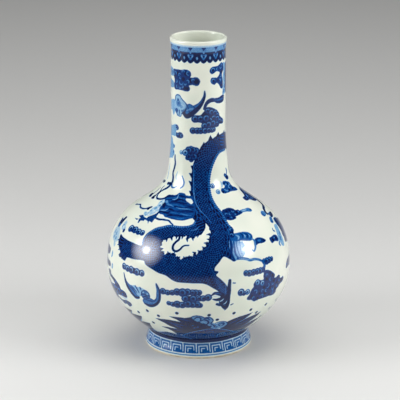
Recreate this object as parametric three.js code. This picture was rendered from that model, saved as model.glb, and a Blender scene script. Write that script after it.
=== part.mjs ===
// A tall porcelain bottle vase with a globular belly, a long straight neck and a foot ring.
// Such a vase is thrown in sections, which are stuck together end to end with wet slip before
// the whole is glazed and fired. From the table up: foot ring, lower half of the belly, upper
// half of the belly, neck with its rolled lip. A thin ring of luting slip lies in each seam and
// stands a little proud inside, where the potter can't trim it away.
// Millimetres, +Z up. The origin is on the axis, at the plane that the foot stands on.
import * as THREE from 'three';

// Heights of the things that a potter would measure, from the table up
const height = 390;
const footHeight = 24;
const bellyHeight = 108;
const neckSeamHeight = 206;
const neckBaseHeight = 268;
const lipHeight = 16;

// Outside radii
const footRadius = 66;
const footTopRadius = 63.2;
const bellyRadius = 113.2;
const neckBaseRadius = 33.5;
const neckTopRadius = 33.1;
const lipRadius = 34.6;

// Wall thicknesses
const seatWall = 7;
const bellyWall = 5;
const neckWall = 4;
const lipThickness = 4;
const floorThickness = 8;
const footWall = 9;

// The slip in a seam, and the ridge that it leaves inside
const slipThickness = 1;
const slipRidge = 1.2;

// The foot's bare edge: the flat that it stands on, and the bevel on both sides of it
const footRestWidth = 4;
const footBevelHeight = 2.4;
const footBevelWidth = 1.6;

// The round inside corner between the floor and the wall
const floorFilletHeight = 12;
const floorFilletWidth = 16;

const segmentsAround = 64;
const stepsPerSection = 9;
const stepsPerFillet = 4;
const stepsPerFlare = 3;
const stepsPerLip = 6;

// How the outline runs between the radii above. Each row is [share of the way up, share of the
// way from the narrow radius to the belly's].
const lowerBellyShares = [[0, 0], [0.143, 0.296], [0.286, 0.54], [0.476, 0.768], [0.714, 0.944], [1, 1]];
const shoulderShares = [
  [0.15, 0.965], [0.2875, 0.853], [0.4125, 0.634], [0.525, 0.32], [0.6375, 0.114], [0.7875, 0.033],
  [1, 0],
];

// How the side of the foot flares out below its upright top. Each row is [share of the foot's
// height, share of the way from the top radius to the widest].
const footSideShares = [[0.33, 0.72], [0.58, 0.05]];

// How far up and out the lip's flare has come when it turns outwards
const lipFlareShares = [0.5, 0.2];

const lipStart = height - lipHeight;
const halfSlip = slipThickness / 2;

const between = (low, high, share) => low + (high - low) * share;

const at = (radius, z) => new THREE.Vector2(radius, z);

// The outside of belly and neck as one fair curve of [radius, height]
const outline = new THREE.SplineCurve([
  ...lowerBellyShares.map(([up, out]) => at(
    between(footTopRadius, bellyRadius, out), between(footHeight, bellyHeight, up))),
  ...shoulderShares.map(([up, out]) => at(
    between(neckBaseRadius, bellyRadius, out), between(bellyHeight, neckBaseHeight, up))),
  at(between(neckBaseRadius, neckTopRadius, 1 / 2), between(neckBaseHeight, lipStart, 1 / 2)),
  at(neckTopRadius, lipStart),
]);

// The share of the outline that lies below a height. It never turns back down.
function outlineShareAt(z) {
  let low = 0;
  let high = 1;
  while (high - low > Number.EPSILON) {
    const middle = (low + high) / 2;
    if (middle === low || middle === high) break;
    if (outline.getPoint(middle).y < z) low = middle;
    else high = middle;
  }
  return high;
}

// The wall thins from the foot to the belly, and again to the foot of the neck
function wallAt(z) {
  if (z < bellyHeight) {
    return THREE.MathUtils.mapLinear(Math.max(z, footHeight), footHeight, bellyHeight, seatWall, bellyWall);
  }
  return THREE.MathUtils.mapLinear(
    Math.min(z, neckBaseHeight), bellyHeight, neckBaseHeight, bellyWall, neckWall);
}

// Both sides of a level cut through the wall. It is wider than the wall where the wall slants.
function levelCut(z) {
  const share = outlineShareAt(z);
  const outer = outline.getPoint(share).x;
  return { outer, inner: outer - wallAt(z) / outline.getTangent(share).y };
}

// The outside from one height to another, with a level cut at both ends
function outsideBetween(low, high, steps) {
  const first = outlineShareAt(low);
  const last = outlineShareAt(high);
  const points = [at(levelCut(low).outer, low)];
  for (let i = 1; i < steps; i++) points.push(outline.getPoint(between(first, last, i / steps)));
  points.push(at(levelCut(high).outer, high));
  return points;
}

// The inside of a wall, from the top down: the outside moved in square to itself, between the
// level cuts at its ends
function insideOf(outside) {
  const last = outside.length - 1;
  const inside = outside.map((p, i) => {
    if (i === 0 || i === last) return at(levelCut(p.y).inner, p.y);
    const along = outside[i + 1].clone().sub(outside[i - 1]).normalize();
    return at(p.x - along.y * wallAt(p.y), p.y + along.x * wallAt(p.y));
  });
  return inside.reverse();
}

// One turned section. Its half section closes on itself or starts and ends on the axis.
function turned(name, halfSection, material) {
  const solid = halfSection[0].x === 0 ? halfSection : [...halfSection, halfSection[0].clone()];
  const geometry = new THREE.LatheGeometry(solid, segmentsAround);
  geometry.rotateX(Math.PI / 2);
  const mesh = new THREE.Mesh(geometry, material);
  mesh.name = name;
  return mesh;
}

// Clear glaze over white porcelain painted in cobalt blue, in the colour it has from afar
function paintedGlaze(colour) {
  return new THREE.MeshStandardMaterial({ color: colour, roughness: 0.08, metalness: 0 });
}

// Dry white clay that was brushed on as a cream
function bareSlip() {
  return new THREE.MeshStandardMaterial({ color: 0xe9e6da, roughness: 0.6, metalness: 0 });
}

function footRing() {
  const top = footHeight - halfSlip;
  const restOuter = footRadius - footBevelWidth;
  const restInner = restOuter - footRestWidth;
  const side = footSideShares.map(([up, out]) => at(
    between(footTopRadius, footRadius, out), footHeight * up));
  return turned('foot_ring', [
    at(restInner, 0),
    at(restOuter, 0),
    at(footRadius, footBevelHeight),
    ...side,
    at(footTopRadius, top),
    at(footTopRadius - footWall, top),
    at(restInner - footBevelWidth, footBevelHeight),
  ], paintedGlaze(0x7fa5cf));
}

function lowerBody() {
  const bottom = footHeight + halfSlip;
  const floor = bottom + floorThickness;
  const outside = outsideBetween(bottom, bellyHeight - halfSlip, stepsPerSection);
  const wall = insideOf(outside).filter((p) => p.y > floor + floorFilletHeight);
  // The fillet leaves the wall at the wall's slope and arrives level on the floor
  const wallFoot = wall[wall.length - 1];
  const slope = wallFoot.clone().sub(wall[wall.length - 2]);
  const corner = at(wallFoot.x + slope.x * (floor - wallFoot.y) / slope.y, floor);
  const fillet = new THREE.QuadraticBezierCurve(wallFoot, corner, at(corner.x - floorFilletWidth, floor));
  return turned('lower_body', [
    at(0, bottom),
    ...outside,
    ...wall,
    ...fillet.getPoints(stepsPerFillet).slice(1),
    at(0, floor),
  ], paintedGlaze(0xc9d5dd));
}

function upperBody() {
  const outside = outsideBetween(bellyHeight + halfSlip, neckSeamHeight - halfSlip, stepsPerSection);
  return turned('upper_body', [...outside, ...insideOf(outside)], paintedGlaze(0xd3dce0));
}

function neck() {
  const outside = outsideBetween(neckSeamHeight + halfSlip, lipStart, stepsPerSection);
  const inside = insideOf(outside);
  // The lip flares out past the neck, and is a half round on top
  const lipRound = lipThickness / 2;
  const lipMiddle = at(lipRadius - lipRound, height - lipRound);
  const [up, out] = lipFlareShares;
  const flare = new THREE.QuadraticBezierCurve(
    at(neckTopRadius, lipStart),
    at(between(neckTopRadius, lipRadius, out), between(lipStart, lipMiddle.y, up)),
    at(lipRadius, lipMiddle.y));
  const round = [];
  for (let i = 1; i <= stepsPerLip; i++) {
    const turn = (Math.PI * i) / stepsPerLip;
    round.push(at(lipMiddle.x + lipRound * Math.cos(turn), lipMiddle.y + lipRound * Math.sin(turn)));
  }
  return turned('neck', [
    ...outside,
    ...flare.getPoints(stepsPerFlare).slice(1),
    ...round,
    ...inside,
  ], paintedGlaze(0xd3dce0));
}

// The slip fills a seam from outside to inside, and is wiped to a low ridge inside
function lutingSlip(name, z, below, above) {
  return turned(name, [
    at(below.outer, z - halfSlip),
    at(above.outer, z + halfSlip),
    at(above.inner, z + halfSlip),
    at(Math.min(below.inner, above.inner) - slipRidge, z),
    at(below.inner, z - halfSlip),
  ], bareSlip());
}

function slipBetweenSections(name, z) {
  return lutingSlip(name, z, levelCut(z - halfSlip), levelCut(z + halfSlip));
}

function footSlip() {
  const footTop = { outer: footTopRadius, inner: footTopRadius - footWall };
  const seat = { outer: levelCut(footHeight + halfSlip).outer, inner: footTop.inner };
  return lutingSlip('foot_luting_slip', footHeight, footTop, seat);
}

const vase = new THREE.Group();
vase.add(
  footRing(),
  footSlip(),
  lowerBody(),
  slipBetweenSections('belly_luting_slip', bellyHeight),
  upperBody(),
  slipBetweenSections('neck_luting_slip', neckSeamHeight),
  neck(),
);
export default vase;
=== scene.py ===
import math

import bpy
import mathutils
import numpy as np
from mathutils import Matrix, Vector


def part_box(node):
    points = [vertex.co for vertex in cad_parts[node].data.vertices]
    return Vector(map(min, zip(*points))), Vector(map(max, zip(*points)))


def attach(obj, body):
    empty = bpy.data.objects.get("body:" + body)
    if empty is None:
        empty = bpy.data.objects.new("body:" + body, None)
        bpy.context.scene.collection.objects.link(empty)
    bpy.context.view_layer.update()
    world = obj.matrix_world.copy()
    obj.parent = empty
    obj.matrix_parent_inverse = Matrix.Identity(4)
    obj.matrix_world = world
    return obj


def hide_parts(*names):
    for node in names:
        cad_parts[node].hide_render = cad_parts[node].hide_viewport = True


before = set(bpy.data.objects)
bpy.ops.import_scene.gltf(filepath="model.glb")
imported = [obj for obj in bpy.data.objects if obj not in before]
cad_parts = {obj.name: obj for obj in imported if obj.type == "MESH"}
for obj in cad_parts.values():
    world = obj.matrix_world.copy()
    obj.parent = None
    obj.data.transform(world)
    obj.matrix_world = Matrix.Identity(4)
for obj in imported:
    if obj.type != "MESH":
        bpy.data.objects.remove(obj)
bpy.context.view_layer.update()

# The foot ring: thrown porcelain, turned true and stuck under the belly with slip. The glaze runs
# over it down to the rim, which is wiped bare so that the vase doesn't stick to its kiln shelf.
# A key fret runs round it, left white in a blue ground. All sizes are in millimetres.
MM = 0.001


def reach_of(node):
    """A CAD node's radius, lowest point and highest point, in millimetres."""
    low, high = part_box(node)
    return high[0] / MM, low[2] / MM, high[2] / MM


def middle_of(node):
    low, high = reach_of(node)[1:]
    return (low + high) / 2


foot_radius = reach_of("foot_ring")[0]
belly_radius = reach_of("upper_body")[0]
vase_height = reach_of("neck")[2]
foot_height = middle_of("foot_luting_slip")
belly_height = middle_of("belly_luting_slip")
neck_seam_height = middle_of("neck_luting_slip")
half_slip = reach_of("lower_body")[1] - foot_height

foot_top_radius = 63.2
neck_base_height = 268
neck_base_radius = 33.5
neck_top_radius = 33.1
lip_height = 16
lip_radius = 34.6
lip_thickness = 4
lip_start = vase_height - lip_height
lip_round = lip_thickness / 2
lip_middle = vase_height - lip_round

# How the outline runs from foot to belly and from belly to neck, as shares of the way up and out
lower_belly_shares = [(0, 0), (0.143, 0.296), (0.286, 0.54), (0.476, 0.768), (0.714, 0.944), (1, 1)]
shoulder_shares = [(0.15, 0.965), (0.2875, 0.853), (0.4125, 0.634), (0.525, 0.32), (0.6375, 0.114),
                   (0.7875, 0.033), (1, 0)]
# How the foot's side flares out below its upright top
foot_side_shares = [(0.1, 1), (0.33, 0.72), (0.58, 0.05), (1, 0)]
# How far out the lip's flare has come half way up it
lip_flare_share = 0.2


def between(low, high, share):
    return low + (high - low) * share


def smooth_curve(places, values):
    """A natural cubic spline. Called with places, it gives the values and the slopes there."""
    places, values = np.array(places, float), np.array(values, float)
    steps, rises = np.diff(places), np.diff(values)
    system, wanted = np.eye(len(places)), np.zeros(len(places))
    for i in range(1, len(places) - 1):
        system[i, i - 1:i + 2] = steps[i - 1], 2 * (steps[i - 1] + steps[i]), steps[i]
        wanted[i] = 6 * (rises[i] / steps[i] - rises[i - 1] / steps[i - 1])
    bends = np.linalg.solve(system, wanted)

    def curve_at(at):
        i = np.clip(np.searchsorted(places, at) - 1, 0, len(steps) - 1)
        step, past, left = steps[i], at - places[i], places[i + 1] - at
        low = values[i] / step - bends[i] * step / 6
        high = values[i + 1] / step - bends[i + 1] * step / 6
        value = (bends[i] * left ** 3 + bends[i + 1] * past ** 3) / (6 * step) + low * left + high * past
        slope = (bends[i + 1] * past ** 2 - bends[i] * left ** 2) / (2 * step) + high - low
        return value, slope
    return curve_at


foot_curve = smooth_curve([foot_height * up for up, out in foot_side_shares],
                          [between(foot_top_radius, foot_radius, out) for up, out in foot_side_shares])
body_curve = smooth_curve(
    [between(foot_height, belly_height, up) for up, out in lower_belly_shares]
    + [between(belly_height, neck_base_height, up) for up, out in shoulder_shares]
    + [between(neck_base_height, lip_start, 0.5), lip_start],
    [between(foot_top_radius, belly_radius, out) for up, out in lower_belly_shares]
    + [between(neck_base_radius, belly_radius, out) for up, out in shoulder_shares]
    + [between(neck_base_radius, neck_top_radius, 0.5), neck_top_radius])


def lip_curve(heights):
    """The flare below the rolled lip."""
    up = (heights - lip_start) / (lip_middle - lip_start)
    out = 2 * up * (1 - up) * lip_flare_share + up ** 2
    growth = (2 * (1 - 2 * up) * lip_flare_share + 2 * up) / (lip_middle - lip_start)
    return between(neck_top_radius, lip_radius, out), (lip_radius - neck_top_radius) * growth


def outline(heights):
    """The outside radius at some heights, and how fast it grows upwards there."""
    heights = np.asarray(heights, float)
    parts = foot_curve(heights), body_curve(heights), lip_curve(heights)
    return [np.where(heights < foot_height, foot, np.where(heights < lip_start, body, lip))
            for foot, body, lip in zip(*parts)]


# How far a tape laid up the wall has come at each height. The brush measures along this.
tape_heights = np.arange(0, vase_height + 0.1, 0.1)
tape = np.append(0, np.cumsum(np.hypot(np.diff(tape_heights), np.diff(outline(tape_heights)[0]))))


def tape_at(heights):
    return np.interp(heights, tape_heights, tape)


# The grid that carries the painting, a little finer than the brush's thinnest line
first_angle = -90
grid_spacing = 0.62
walls = []

# How soft a stroke's edge is, and how close together the places on its path are
edge_softness = 0.6
path_spacing = 1.5


class Wall:
    """The painted outside of one piece: rows up it, columns round it, and the cobalt at each crossing."""

    def __init__(self, low, high, columns):
        rows = round((tape_at(high) - tape_at(low)) / grid_spacing)
        self.tape = np.linspace(tape_at(low), tape_at(high), rows + 1)
        self.heights = np.interp(self.tape, tape, tape_heights)
        self.heights[[0, -1]] = low, high
        self.radii, self.slopes = outline(self.heights)
        self.columns = columns
        self.step = 360 / columns
        self.cobalt = np.zeros((rows + 1, columns))
        walls.append(self)

    def run(self):
        """The rows as a stretch of half section. Its true normals match those of the next wall."""
        return stretch(np.column_stack([self.radii, self.heights]),
                       np.column_stack([np.ones_like(self.slopes), -self.slopes]), painted=True)

    def paint(self, path, half_widths, tone, filled):
        """Lays cobalt along a path, or all over what a closed path surrounds. A tone of 0 wipes it off."""
        levels, radii = tape_at(path[:, 1]), outline(path[:, 1])[0]
        reach = half_widths.max() + edge_softness
        first, last = np.searchsorted(self.tape, [levels.min() - reach, levels.max() + reach])
        if first == last:
            return
        spread = math.degrees(reach / radii.min())
        left = math.floor((path[:, 0].min() - spread - first_angle) / self.step)
        right = math.ceil((path[:, 0].max() + spread - first_angle) / self.step) + 1
        rows, angles = self.tape[first:last], first_angle + np.arange(left, right) * self.step
        share = np.zeros((last - first, right - left))
        for k in range(len(path) - 1):
            degree = math.radians((radii[k] + radii[k + 1]) / 2)
            reach = max(half_widths[k:k + 2]) + edge_softness
            low, high = sorted(levels[k:k + 2])
            near_rows = slice(*np.searchsorted(rows, [low - reach, high + reach]))
            low, high = sorted(path[k:k + 2, 0])
            near_angles = slice(*np.searchsorted(angles, [low - reach / degree, high + reach / degree]))
            across = (angles[near_angles] - path[k, 0]) * degree
            up = (rows[near_rows] - levels[k])[:, None]
            run, rise = (path[k + 1, 0] - path[k, 0]) * degree, levels[k + 1] - levels[k]
            passed = np.clip((across * run + up * rise) / (run ** 2 + rise ** 2), 0, 1)
            half_width = between(half_widths[k], half_widths[k + 1], passed)
            gap = np.hypot(across - passed * run, up - passed * rise) - half_width
            here = share[near_rows, near_angles]
            np.maximum(here, 0.5 - gap / edge_softness, out=here)
        if filled:
            for row, level in enumerate(rows):
                above = levels > level
                k = np.nonzero(above[1:] != above[:-1])[0]
                part = (level - levels[k]) / (levels[k + 1] - levels[k])
                crossings = np.sort(between(path[k, 0], path[k + 1, 0], part))
                share[row, np.searchsorted(crossings, angles) % 2 == 1] = 1
        row, column = np.nonzero(share)
        if callable(tone):
            tone = tone(angles[column], self.heights[first + row])
        here = first + row, (left + column) % self.columns
        self.cobalt[here] += (tone - self.cobalt[here]) * np.minimum(share[row, column], 1)


def lengths_along(path):
    """How far the brush has come at each place of its path, in millimetres on the wall."""
    radii = outline(path[:, 1])[0]
    across = np.radians(np.diff(path[:, 0])) * (radii[1:] + radii[:-1]) / 2
    return np.append(0, np.cumsum(np.hypot(across, np.diff(tape_at(path[:, 1])))))


def flowing(points, closed=False, sharp=False, spacing=path_spacing):
    """A brush's path that swings through some (angle, height) places, or goes straight between them."""
    points = np.array([*points, points[0]] if closed else points, float)
    lengths = np.diff(lengths_along(points))
    pace = np.sqrt(lengths)[:, None]
    chords = np.diff(points, axis=0) / pace
    first, last = (-1, 0) if closed else (0, -1)
    before, after = np.vstack([chords[first], chords]), np.vstack([chords, chords[last]])
    pace_before, pace_after = np.vstack([pace[first], pace]), np.vstack([pace, pace[last]])
    swing = (before * pace_after + after * pace_before) / (pace_before + pace_after)
    places = []
    for i, length in enumerate(lengths):
        share = np.linspace(0, 1, math.ceil(length / spacing), endpoint=False)[:, None]
        place = between(points[i], points[i + 1], share if sharp else share ** 2 * (3 - 2 * share))
        if not sharp:
            place = place + pace[i] * share * (1 - share) * (swing[i] * (1 - share) - swing[i + 1] * share)
        places.append(place)
    return np.vstack([*places, points[-1:]])


def stroke(points, widths, tone=1, closed=False, sharp=False):
    """One stroke of the brush. Its widths are spread evenly along it."""
    path = flowing(points, closed, sharp)
    done = lengths_along(path)
    widths = np.atleast_1d(widths)
    half_widths = np.interp(done / done[-1], np.linspace(0, 1, len(widths)), widths) / 2
    for wall in walls:
        wall.paint(path, half_widths, tone, filled=False)


def fill(points, tone=1, sharp=False):
    """A wash of cobalt inside an outline."""
    path = flowing(points, True, sharp)
    for wall in walls:
        wall.paint(path, np.zeros(len(path)), tone, filled=True)


def band(low, high, tone):
    """An even band of cobalt all round, laid while the vase turns on a wheel."""
    for wall in walls:
        inward = np.minimum(wall.tape - tape_at(low), tape_at(high) - wall.tape)
        share = np.clip(0.5 + inward / edge_softness, 0, 1)[:, None]
        wall.cobalt += (tone - wall.cobalt) * share


def stretch(points, normals=None, painted=False, bare=False):
    """A smooth stretch of a half section, as (radius, height) in mm, running with the clay on its left."""
    points = np.array(points, float)
    if normals is None:
        along = np.gradient(points, axis=0)
        normals = np.column_stack([along[:, 1], -along[:, 0]])
    normals = normals / np.linalg.norm(normals, axis=1, keepdims=True)
    return {"points": points, "normals": normals, "painted": painted, "bare": bare}


def corners(*points, **kind):
    """Straight, sharp-edged stretches from point to point."""
    return [stretch(pair, **kind) for pair in zip(points, points[1:])]


# A piece's map, by shares of its height: the front half of the painted wall, the back half over it,
# and from there up all that is not painted
map_half = 0.44
map_back_start = 0.45
map_rest_start = 0.9


def turned(name, stretches, columns, materials):
    """Turns a half section into a closed mesh. It gives back the object and its first painted vertex.
    Each stretch keeps its own normals, and the map holds the painted wall in two halves, front and back."""
    rows = [stretches[0]["points"][0]]
    strips = []
    painted_row = 0
    for part in stretches:
        if part["painted"]:
            painted_row = len(rows) - 1
        length = np.append(0, np.cumsum(np.linalg.norm(np.diff(part["points"], axis=0), axis=1)))
        for i in range(1, len(part["points"])):
            strips.append((part["normals"][i - 1], part["normals"][i], length[i - 1] / length[-1],
                           length[i] / length[-1], part["painted"], part["bare"]))
            rows.append(part["points"][i])
    if np.allclose(rows[0], rows[-1]):
        rows.pop()
    turn = np.radians(first_angle + np.arange(columns) * 360 / columns)
    round_x, round_y = np.sin(turn), -np.cos(turn)
    places = []
    for radius, z in rows:
        ring = (round_x, round_y) if radius > 0 else (np.zeros(1), np.zeros(1))
        places.append(np.column_stack([ring[0] * radius, ring[1] * radius, np.full(len(ring[0]), z)]))
    starts = np.append(0, np.cumsum([len(p) for p in places]))
    here = np.arange(columns)
    after = (here + 1) % columns
    half = columns // 2
    u_here = (here % half) / half
    u_after = u_here + 1 / half
    faces, sizes, normals, uvs, finishes = [], [], [], [], []
    unpainted = sum(not strip[4] for strip in strips)
    spare = 0
    for k, (low_n, high_n, low_v, high_v, painted, bare) in enumerate(strips):
        low, high = starts[k], starts[(k + 1) % len(rows)]
        low_pole, high_pole = rows[k][0] == 0, rows[(k + 1) % len(rows)][0] == 0
        if painted:
            v_low, v_high = low_v * map_half, high_v * map_half
            lift = np.where(here < half, 0, map_back_start)
        else:
            v_low = between(map_rest_start, 1, spare / unpainted)
            v_high = between(map_rest_start, 1, (spare + 1) / unpainted)
            lift = np.zeros(columns)
            spare += 1
        u_low = u_here if painted else here / columns
        u_high = u_after if painted else (here + 1) / columns
        ring = [(low + here, low_n, here, u_low, v_low), (low + after, low_n, after, u_high, v_low),
                (high + after, high_n, after, u_high, v_high), (high + here, high_n, here, u_low, v_high)]
        if low_pole:
            ring = [(low + 0 * here, low_n, here, u_low, v_low)] + ring[2:]
        if high_pole:
            ring = ring[:2] + [(high + 0 * here, high_n, here, u_low, v_high)]
        faces.append(np.column_stack([vertex for vertex, *_ in ring]).ravel())
        sizes.append(np.full(columns, len(ring)))
        normals.append(np.stack([
            np.column_stack([round_x[column] * out, round_y[column] * out, np.full(columns, up)])
            for _, (out, up), column, _, _ in ring], 1).reshape(-1, 3))
        uvs.append(np.stack([np.column_stack([u, v + lift]) for *_, u, v in ring], 1).reshape(-1, 2))
        finishes.append(np.full(columns, int(bare)))
    mesh = bpy.data.meshes.new(name)
    vertices = np.vstack(places) * MM
    mesh.vertices.add(len(vertices))
    mesh.vertices.foreach_set("co", vertices.ravel())
    corner_ids, sizes = np.concatenate(faces), np.concatenate(sizes)
    mesh.loops.add(len(corner_ids))
    mesh.loops.foreach_set("vertex_index", corner_ids.astype(np.int32))
    mesh.polygons.add(len(sizes))
    mesh.polygons.foreach_set("loop_start", np.append(0, np.cumsum(sizes)[:-1]).astype(np.int32))
    for material in materials:
        mesh.materials.append(material)
    mesh.polygons.foreach_set("material_index", np.concatenate(finishes).astype(np.int32))
    mesh.update(calc_edges=True)
    mesh.polygons.foreach_set("use_smooth", np.ones(len(sizes), bool))
    mesh.uv_layers.new(name="OFBake").data.foreach_set("uv", np.vstack(uvs).astype(np.float32).ravel())
    mesh.normals_split_custom_set(np.vstack(normals).astype(np.float32))
    piece = bpy.data.objects.new(name, mesh)
    bpy.context.collection.objects.link(piece)
    return piece, starts[painted_row]


def seat(piece, node):
    """Puts a piece in its CAD node's place."""
    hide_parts(node)
    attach(piece, "root")


def linear(hex_colour):
    """An sRGB hex colour as the linear colour that a shader takes."""
    parts = [int(hex_colour[i:i + 2], 16) / 255 for i in (1, 3, 5)]
    return [c / 12.92 if c <= 0.04045 else ((c + 0.055) / 1.055) ** 2.4 for c in parts] + [1]


def add_node(material, kind, inputs, **settings):
    """Adds a node with its settings. inputs gives each socket a value, or the socket that feeds it."""
    node = material.node_tree.nodes.new("ShaderNode" + kind)
    for name, value in settings.items():
        setattr(node, name, value)
    for name, value in inputs.items():
        if isinstance(value, bpy.types.NodeSocket):
            material.node_tree.links.new(value, node.inputs[name])
        else:
            node.inputs[name].default_value = value
    return node


def blank_material(name):
    material = bpy.data.materials.new(name)
    material.use_nodes = True
    material.node_tree.nodes.clear()
    return material


def ramp_through(material, share, stops):
    """A colour ramp through (share, hex colour) stops."""
    node = add_node(material, "ValToRGB", {"Fac": share})
    while len(node.color_ramp.elements) < len(stops):
        node.color_ramp.elements.new(1)
    for element, (position, colour) in zip(node.color_ramp.elements, stops):
        element.position = position
        element.color = linear(colour)
    return node.outputs["Color"]


# Cobalt under a clear glaze. The pigment sinks into the raw white clay, so it goes from a pale
# wash to near black where the brush heaped it, and the eye sees all of it through one smooth gloss.
cobalt_stops = [(0, "#e9ecdf"), (0.12, "#c1d7e4"), (0.3, "#74a8d2"), (0.5, "#1f68ac"),
                (0.7, "#00458c"), (0.86, "#002768"), (1, "#000d3a")]
heap_size = 2.6 * MM
brush_grain = 0.8 * MM
glaze_drift = 45 * MM
glaze_ripple = 9 * MM
# How far the heaps move a wash up or down the ramp. Clay stays white, and the darkest blue dark.
heap_swing = 0.9
heap_limit = 1.12


def cobalt_porcelain():
    material = blank_material("cobalt_under_clear_glaze")
    place = add_node(material, "TexCoord", {}).outputs["Object"]
    cobalt = add_node(material, "Attribute", {}, attribute_name="cobalt").outputs["Fac"]
    heaps = add_node(material, "TexNoise", {"Vector": place, "Scale": 1 / heap_size, "Detail": 3,
                                            "Roughness": 0.6}).outputs["Fac"]
    grain = add_node(material, "TexNoise", {"Vector": place, "Scale": 1 / brush_grain,
                                            "Detail": 1}).outputs["Fac"]
    both = add_node(material, "Math", {0: heaps, 1: grain}, operation="ADD").outputs[0]
    swing = add_node(material, "Math", {0: both, 1: -1.0}, operation="ADD").outputs[0]
    room = add_node(material, "Math", {0: heap_limit, 1: cobalt}, operation="SUBTRACT").outputs[0]
    loose = add_node(material, "Math", {0: room, 1: cobalt}, operation="MULTIPLY").outputs[0]
    shift = add_node(material, "Math", {0: swing, 1: loose}, operation="MULTIPLY").outputs[0]
    heaped = add_node(material, "Math", {0: shift, 1: heap_swing, 2: cobalt}, operation="MULTIPLY_ADD",
                      use_clamp=True).outputs[0]
    colour = ramp_through(material, heaped, cobalt_stops)
    drift = add_node(material, "TexNoise", {"Vector": place, "Scale": 1 / glaze_drift,
                                            "Detail": 1}).outputs["Fac"]
    tint = ramp_through(material, drift, [(0.35, "#ffffff"), (0.65, "#f4f8f7")])
    mixed = add_node(material, "Mix", {0: 1.0, 6: colour, 7: tint}, data_type="RGBA",
                     blend_type="MULTIPLY").outputs[2]
    ripple = add_node(material, "TexNoise", {"Vector": place, "Scale": 1 / glaze_ripple,
                                             "Detail": 0}).outputs["Fac"]
    bump = add_node(material, "Bump", {"Height": ripple, "Strength": 1.0,
                                       "Distance": 0.02 * MM}).outputs["Normal"]
    shader = add_node(material, "BsdfPrincipled", {"Base Color": mixed, "Roughness": 0.09, "IOR": 1.5,
                                                   "Normal": bump}).outputs["BSDF"]
    add_node(material, "OutputMaterial", {"Surface": shader})
    return material


# Biscuit: the bare fired clay of the foot rim, where the glaze was wiped off before the firing. It is
# dry and faintly sandy, with a warm tinge from iron. The slip in the seams is the same, only paler.
clay_patch = 7 * MM
clay_grit = 0.35 * MM


def bare_clay(name, light, dark):
    material = blank_material(name)
    place = add_node(material, "TexCoord", {}).outputs["Object"]
    patches = add_node(material, "TexNoise", {"Vector": place, "Scale": 1 / clay_patch,
                                              "Detail": 4}).outputs["Fac"]
    colour = ramp_through(material, patches, [(0.3, light), (0.7, dark)])
    grit = add_node(material, "TexNoise", {"Vector": place, "Scale": 1 / clay_grit,
                                           "Detail": 2}).outputs["Fac"]
    bump = add_node(material, "Bump", {"Height": grit, "Strength": 0.6,
                                       "Distance": 0.05 * MM}).outputs["Normal"]
    shader = add_node(material, "BsdfPrincipled", {"Base Color": colour, "Roughness": 0.75,
                                                   "Normal": bump}).outputs["BSDF"]
    add_node(material, "OutputMaterial", {"Surface": shader})
    return material


glaze = cobalt_porcelain()
biscuit = bare_clay("bare_biscuit_rim", "#e2dccb", "#c9b79b")

fret_count = 24
foot_columns = 30 * fret_count
foot_bevel_height = 2.4
foot_bevel_width = 1.6
foot_rest_width = 4
foot_wall = 9
# How deep the glazed face of a section goes before the slip in its seam begins
skin = 0.6

foot_outer = Wall(foot_bevel_height, foot_height, foot_columns)
rest_outer = foot_radius - foot_bevel_width
rest_inner = rest_outer - foot_rest_width
recess_radius = foot_top_radius - foot_wall
foot_seam = [(foot_top_radius, foot_height), (foot_top_radius - skin, foot_height),
             (foot_top_radius - skin, foot_height - half_slip), (recess_radius, foot_height - half_slip)]
foot_outer.piece, foot_outer.first_vertex = turned("foot_ring_glazed", [
    *corners((rest_inner, 0), (rest_outer, 0), bare=True),
    *corners((rest_outer, 0), (foot_radius, foot_bevel_height), bare=True),
    foot_outer.run(),
    *corners(*foot_seam),
    *corners((recess_radius, foot_height - half_slip), (rest_inner - foot_bevel_width, foot_bevel_height)),
    *corners((rest_inner - foot_bevel_width, foot_bevel_height), (rest_inner, 0), bare=True),
], foot_columns, [glaze, biscuit])
seat(foot_outer.piece, "foot_ring")

# The key fret and the lines above and below it, painted on the raw foot and glazed over. The ground is
# a wash of cobalt, and the keys are left white in it: square hooks that turn in on themselves.
fret_line = 1.1
fret_ground = 0.62
fret_white = 0.05
fret_step = 360 / fret_count
fret_outer_hook = [(0.8, 6.5), (0.5, 15.8), (9.7, 16), (10.2, 11)]
fret_inner_hook = [(3.5, 9.3), (3.5, 12.8), (7, 12.8)]
fret_bar = [(12.4, 19.5), (13, 9)]
rim_glaze_height = 4
rim_line_height = 5.4
band(foot_bevel_height, foot_height, fret_ground)
for low, high in ((19, 20.5), (rim_line_height, 7)):
    band(low, high, fret_white)
band(rim_glaze_height, rim_line_height, 0.45)
band(foot_bevel_height - 1, rim_glaze_height, 0)
for key in range(fret_count):
    for hook in (fret_outer_hook, fret_inner_hook, fret_bar):
        places = [(key * fret_step + angle, height) for angle, height in hook]
        stroke(places, fret_line, fret_white, sharp=True)

# The luting slip in the three seams: clay stirred to a cream, which holds the thrown sections
# together. The glaze hides it outside. Inside it stands up as a low, finger-wiped ridge.
slip = bare_clay("fired_white_slip", "#ece8dc", "#dad3c2")
seat_wall = 7
belly_wall = 5
neck_wall = 4
slip_ridge = 1.2
slip_columns = 240


def wall_at(z):
    return np.interp(z, [foot_height, belly_height, neck_base_height], [seat_wall, belly_wall, neck_wall])


def inner_radius(z):
    """The inside radius at a height, on a level cut through the wall."""
    radius, slope = outline(z)
    return float(radius - wall_at(z) * np.hypot(1, slope))


def slip_ring(name, node, z, low_inner, high_inner):
    outer = float(outline(z)[0]) - skin
    ridge = min(low_inner, high_inner) - slip_ridge
    ring, _ = turned(name, corners(
        (outer, z - half_slip), (outer, z + half_slip), (high_inner, z + half_slip), (ridge, z),
        (low_inner, z - half_slip), (outer, z - half_slip)), slip_columns, [slip])
    seat(ring, node)


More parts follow.
